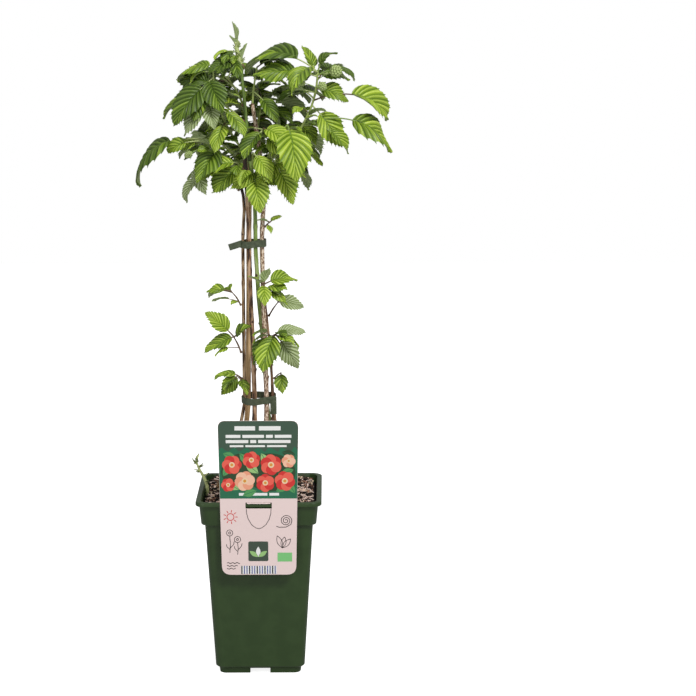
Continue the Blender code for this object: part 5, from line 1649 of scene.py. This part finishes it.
def label_print(heap, skins, y):
    """A plain printed design: bars and flowers over a pale field with small line drawings."""

    def lay(points, skin, step, pen=0.0):
        """Lay an outline, or a line of a pen's width, on the card at a level of its own."""
        points = [(x * MM, z * MM) for x, z in points]
        outline = stroke(points, pen * MM) if pen else points
        plate(heap, [(LABEL_OFFSET_X + x, z) for x, z in outline], y - PRINT_LEVEL * step, 0.0, skins[skin])

    print_ground(lay)
    for number, (x, z, radius_x, radius_z) in enumerate(PRINT_SHADOWS):
        lay(disc(x, z, radius_x, radius_z, 28), "leaf_dark", 2.4 + 0.3 * number)
    rng = random.Random(f"{SEED} print")
    for number, (x, z, length, heading) in enumerate(PRINT_LEAVES):
        tone = rng.choice(("leaf_light", "leaf_mid", "leaf_dark"))
        lay(almond(x, z, heading, length, PRINT_LEAF_WIDTH * length, 9), tone, 3 + 0.2 * number)
        way = direction(heading, 0) * length
        rib = [(x + way.x * t, z + way.y * t) for t in (0.05, 0.5, 0.92)]
        lay(rib, "meadow", 3.1 + 0.2 * number, pen=0.5)
    for number, (x, z, size, tone) in enumerate(PRINT_FLOWERS):
        rise = 6 + 1.2 * number
        for petal in range(PRINT_PETALS):
            angle = math.tau * (petal + 0.3 * number) / PRINT_PETALS
            centre = (x + 0.46 * size * math.cos(angle), z + 0.46 * size * math.sin(angle))
            shade = (tone, tone + "_light")[petal % 2]
            lay(disc(*centre, 0.50 * size, 0.50 * size, 20), shade, rise + 0.16 * petal)
        lay(disc(x, z, 0.28 * size, 0.28 * size, 16), "cream", rise + 0.96)
        lay(disc(x, z, 0.15 * size, 0.15 * size, 12), "gold", rise + 1.08)
    for (z0, z1), runs in PRINT_BARS.items():
        for x0, x1 in runs:
            lay(rectangle(x0, z0, x1, z1), "white", 4)
    half, sill = LABEL_WINDOW_WIDTH / MM / 2, LABEL_WINDOW_Z[0] / MM
    lay([(x * half, sill - depth) for x, depth in PRINT_TONGUE], "ink_soft", 2, pen=0.7)
    for points, width, skin in print_doodles():
        lay(points, skin, 3, pen=PRINT_PEN * width)
    print_emblem(lay)
    lay(rectangle(*PRINT_PATCH), "patch", 3)
    x0, z0, x1, z1 = PRINT_STRIPES
    lay(rectangle(x0, z0, x1, z1), "white", 2)
    stripe = (x1 - x0) / PRINT_STRIPE_COUNT
    for index in range(PRINT_STRIPE_COUNT):
        left = x0 + stripe * (index + 0.2)
        lay(rectangle(left, z0, left + stripe * 0.5, z1), "ink_blue" if index % 3 else "ink", 3)


def print_ground(lay):
    """The dark panel behind the bars, and the green picture's ragged field."""
    top, foot = LABEL_TOP_WIDTH / MM / 2, LABEL_FOOT_WIDTH / MM / 2
    top_z, foot_z, corner = LABEL_TOP_Z / MM, LABEL_FOOT_Z / MM, LABEL_CORNERS[1] / MM

    def half_at(z):
        return foot + (top - foot) * (z - foot_z) / (top_z - foot_z) - PRINT_INSET

    fold, (picture_top, picture_foot) = PRINT_FOLD_Z, PRINT_PICTURE_Z
    lay(rounded_outline([(half_at(top_z), top_z - 0.2, corner), (-half_at(top_z), top_z - 0.2, corner),
                         (-half_at(fold), fold, 0.1), (half_at(fold), fold, 0.1)]), "panel", 1)
    half = half_at(picture_top)
    ragged = [(-half + 2 * half * step / 24,
               picture_top + 2.2 * math.sin(step * 1.7) + 1.2 * math.sin(step * 3.1)) for step in range(25)]
    lay([(-half_at(picture_foot), picture_foot), (half_at(picture_foot), picture_foot)] + ragged[::-1],
        "meadow", 2)


def print_emblem(lay):
    """A dark square with three plain leaves."""
    x0, z0, x1, z1 = PRINT_SQUARE
    corners = [(x1, z1), (x0, z1), (x0, z0), (x1, z0)]
    lay(rounded_outline([(x, z, PRINT_SQUARE_CORNER) for x, z in corners]), "emblem", 3)
    for heading in (35, 90, 145):
        leaf = almond((x0 + x1) / 2, z0 + 4.5, heading, 11, 2.3, 8)
        lay(leaf, "white" if heading == 90 else "leaf_light", 4)


def print_doodles():
    """Small line drawings for the pale field, as (points, pen width, colour), in millimetres."""
    drawn = []

    def draw(points, width, colour):
        drawn.append((points, width, colour))

    def ring(x, z, radius, turns=1.0, shrink=1.0, steps=20):
        return [(x + radius * (1 + (shrink - 1) * t) * math.cos(math.tau * turns * t),
                 z + radius * (1 + (shrink - 1) * t) * math.sin(math.tau * turns * t))
                for t in np.linspace(0, 1, steps)]

    sun_x, sun_z = -29, 176
    draw(ring(sun_x, sun_z, 3.6), 0.55, "red")
    for ray in range(9):
        angle = math.tau * ray / 9
        points = [(sun_x + r * math.cos(angle), sun_z + r * math.sin(angle)) for r in (4.8, 6.0, 7.4)]
        draw(points, 0.5, "red")
    for x, z, height in ((-30, 138, 18), (-22, 136, 13)):
        head = z + height + 3.1
        for points in ([(x, z), (x + 0.7, z + height * 0.5), (x, z + height)], ring(x, head, 3.2),
                       ring(x, head, 1.1), [(x + 0.5, z + 5), (x + 4, z + 9), (x + 4.6, z + 12)],
                       [(x + 0.5, z + 3), (x - 3, z + 6.5), (x - 3.4, z + 9)]):
            draw(points, 0.45, "ink_soft")
    draw(ring(28, 172, 6.0, 2.4, 0.15, 44), 0.45, "ink")
    draw([(34, 172), (33, 168), (28, 165.2), (21, 165), (18, 166)], 0.5, "ink")
    for lean, length in ((112, 14), (78, 12), (48, 13)):
        way = (math.cos(math.radians(lean)), math.sin(math.radians(lean)))
        x, z = 24, 143
        for side in (-2.6, 2.6):
            draw([(x + way[0] * length * t - way[1] * side * math.sin(math.pi * t),
                   z + way[1] * length * t + way[0] * side * math.sin(math.pi * t))
                  for t in np.linspace(0, 1, 10)], 0.4, "ink_soft")
    for row in range(3):
        draw([(-33 + step * 1.1, 127 - row * 3.0 + 0.55 * math.sin(step * 1.5 + row))
              for step in range(13 - 2 * row)], 0.5, "ink")
    return drawn


def dress_label():
    """The label: a card with rounded corners, its print, and the tab that hangs it on the rim."""
    skins = [look("card_pink", CARD_TONE, PRINT_ROUGHNESS)]
    skins += [look("print_" + name, tone, PRINT_ROUGHNESS) for name, tone in PRINT_TONES.items()]
    number = {name: place for place, name in enumerate(PRINT_TONES, 1)}
    x, top, foot = LABEL_OFFSET_X, LABEL_TOP_WIDTH / 2, LABEL_FOOT_WIDTH / 2
    low, high = LABEL_CORNERS
    card = rounded_outline([(x + top, LABEL_TOP_Z, high), (x - top, LABEL_TOP_Z, high),
                            (x - foot, LABEL_FOOT_Z, low), (x + foot, LABEL_FOOT_Z, low)])
    window, (sill, head) = LABEL_WINDOW_WIDTH / 2, LABEL_WINDOW_Z
    front = -(RIM_WIDTH / 2 + GAP + LABEL_THICKNESS)
    heap = Heap()
    plate(heap, card, front, LABEL_THICKNESS, 0, [rectangle(x - window, sill, x + window, head)])
    label_print(heap, number, front - 0.00003)
    inside = GAP - collar_inner_width(LABEL_LEG_FOOT_Z) / 2 + LABEL_THICKNESS / 2
    over = POT_HEIGHT + GAP + LABEL_THICKNESS * 0.75
    bend, ease = 0.0012, 0.0003
    tab = [(x, front + LABEL_THICKNESS / 2, over - bend), (x, front + LABEL_THICKNESS * 0.8, over - ease),
           (x, front + 0.0018, over), (x, (front + inside) / 2, over), (x, inside - bend, over),
           (x, inside - ease, over - ease), (x, inside, over - bend), (x, inside, LABEL_LEG_FOOT_Z)]
    ribbon(heap, tab, [(1, 0, 0)] * len(tab), 2 * (window - LABEL_TAB_CLEARANCE), LABEL_THICKNESS)
    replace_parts(heap.piece("label_printed", skins, sharp=35), "label")


def bracts(heap, path, rows, half_width, spread, rng):
    """Small folded bracts in threes up a shoot, from rows of share, heading, rise and length."""
    for share, heading, rise, size in rows:
        root = along_path(path, share)
        for part in range(3):
            turn = heading + rng.uniform(-16, 16) + spread * (part - 1)
            length = size * MM * (1 - 0.25 * part)
            blade = leaflet(root, turn, rise - 10 * part, rng.uniform(-20, 20), 0.0, length, BRACT_DROOP)
            blade["half_width"] *= half_width
            plain_blade(heap, blade, 1 if part else rng.choice((0, 1)))
            tip = blade_point(blade, 0.93, 0.0, 0.0002)
            ball(heap, tip, (0.0006, 0.0005, 0.0006), 2, 6, 4)


def dress_tip_shoot(masses):
    """The pale bracts that clothe the young tip of the tallest cane."""
    rng = random.Random(f"{SEED} tip")
    rows = [(0.15 + 0.8 * index / TIP_BRACTS, index * GOLDEN_ANGLE, rng.uniform(58, 74), rng.uniform(8, 11))
            for index in range(TIP_BRACTS)]
    heap = Heap()
    bracts(heap, masses["foliage_tip"]["lateral"], rows, 0.7, 30, rng)
    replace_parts(heap.piece("tip_bracts", looks(TIP_TONES)), "foliage_tip")


def dress_sprout():
    """The pale shoot with its joints and small folded bracts."""
    rng = random.Random(f"{SEED} sprout")
    base = Vector((0, 0, COMPOST_TOP + GAP))
    path = smooth_path([Vector(point) * MM + base for point in SPROUT], 3)
    path[1].xy = path[0].xy
    radii = [SPROUT_RADIUS * MM * (1 - SPROUT_TAPER * index / (len(path) - 1)) for index in range(len(path))]
    points, reach, marks = even_path(path, radii, 0.0012)
    relief = np.ones((len(points), 14))
    for joint in SPROUT_JOINTS:
        relief += 0.14 * np.exp(-((marks - joint) / 0.0012) ** 2)[:, None]
    heap = Heap()
    tube(heap, points, reach, 14, 0, relief)
    rows = [(share, heading, rise, 0.8 * size) for share, heading, rise, size in SPROUT_LEAVES]
    bracts(heap, path, rows, 0.62, 14, rng)
    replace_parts(heap.piece("sprout_shoot", looks(SPROUT_TONES)), "sprout")


def stand(name, data, place, forward):
    """Put a camera or a lamp in the scene, looking along a direction."""
    made = bpy.data.objects.new(name, data)
    made.location = place
    made.rotation_mode = "QUATERNION"
    made.rotation_quaternion = forward.to_track_quat("-Z", "Y")
    bpy.context.scene.collection.objects.link(made)
    return made


def set_camera():
    azimuth, tilt = math.radians(CAMERA_AZIMUTH), math.radians(CAMERA_TILT)
    facing = math.radians(CAMERA_AZIMUTH + CAMERA_PAN)
    forward = Vector((-math.sin(facing) * math.cos(tilt), math.cos(facing) * math.cos(tilt), -math.sin(tilt)))
    place = (CAMERA_DISTANCE * math.sin(azimuth), -CAMERA_DISTANCE * math.cos(azimuth), CAMERA_HEIGHT)
    lens = bpy.data.cameras.new("photo_camera")
    lens.sensor_width = SENSOR_WIDTH
    lens.lens = FOCAL_PIXELS * SENSOR_WIDTH / FRAME_PIXELS
    lens.clip_start = 0.01
    bpy.context.scene.camera = stand("photo_camera", lens, place, forward)


def set_lights():
    for name, place, target, size, energy in LIGHTS:
        light = bpy.data.lights.new(name, "AREA")
        light.shape = "DISK"
        light.size = size
        light.energy = energy
        stand(name, light, place, Vector(target) - Vector(place))


def mix_for_camera(tree, thrown, seen, target):
    """Show one shader to the camera, and let another light the scene."""
    mix = tree.nodes.new("ShaderNodeMixShader")
    path = tree.nodes.new("ShaderNodeLightPath")
    tree.links.new(path.outputs["Is Camera Ray"], mix.inputs[0])
    tree.links.new(thrown.outputs[0], mix.inputs[1])
    tree.links.new(seen.outputs[0], mix.inputs[2])
    tree.links.new(mix.outputs[0], target.inputs["Surface"])


def set_world():
    """A white surround that lights softly and shows pure white behind the plant."""
    world = bpy.data.worlds.new("white_surround")
    bpy.context.scene.world = world
    world.use_nodes = True
    tree = world.node_tree
    tree.nodes.clear()
    out = tree.nodes.new("ShaderNodeOutputWorld")
    soft, seen = tree.nodes.new("ShaderNodeBackground"), tree.nodes.new("ShaderNodeBackground")
    for shader, strength in ((soft, SURROUND_LIGHT), (seen, 1.0)):
        shader.inputs["Color"].default_value = (1.0, 1.0, 1.0, 1.0)
        shader.inputs["Strength"].default_value = strength
    mix_for_camera(tree, soft, seen, out)


def set_floor():
    """A plain white floor as bright as the surround, which throws less light back than it shows."""
    half = FLOOR_SIZE / 2
    white = look("floor_white", (0.8, 0.8, 0.8), 0.9, Emission_Color=(1.0, 1.0, 1.0, 1.0),
                 Emission_Strength=FLOOR_GLOW)
    tree = white.node_tree
    dull = tree.nodes.new("ShaderNodeBsdfDiffuse")
    dull.inputs["Color"].default_value = (0.55, 0.55, 0.55, 1.0)
    mix_for_camera(tree, dull, tree.nodes["Principled BSDF"], tree.nodes["Material Output"])
    heap = Heap()
    heap.add([(x, y, 0.0) for x, y in rectangle(-half, -half, half, half)], [(0, 1, 2, 3)])
    heap.piece("floor", [white])


def main():
    bpy.context.scene.view_settings.view_transform = "Standard"
    masses, crowd = grow()
    grow_finer(masses, crowd)
    dress_foliage(masses)
    dress_canes()
    dress_pot()
    dress_compost()
    dress_ties()
    dress_label()
    dress_sprout()
    dress_tip_shoot(masses)
    set_camera()
    set_world()
    set_floor()
    set_lights()


main()
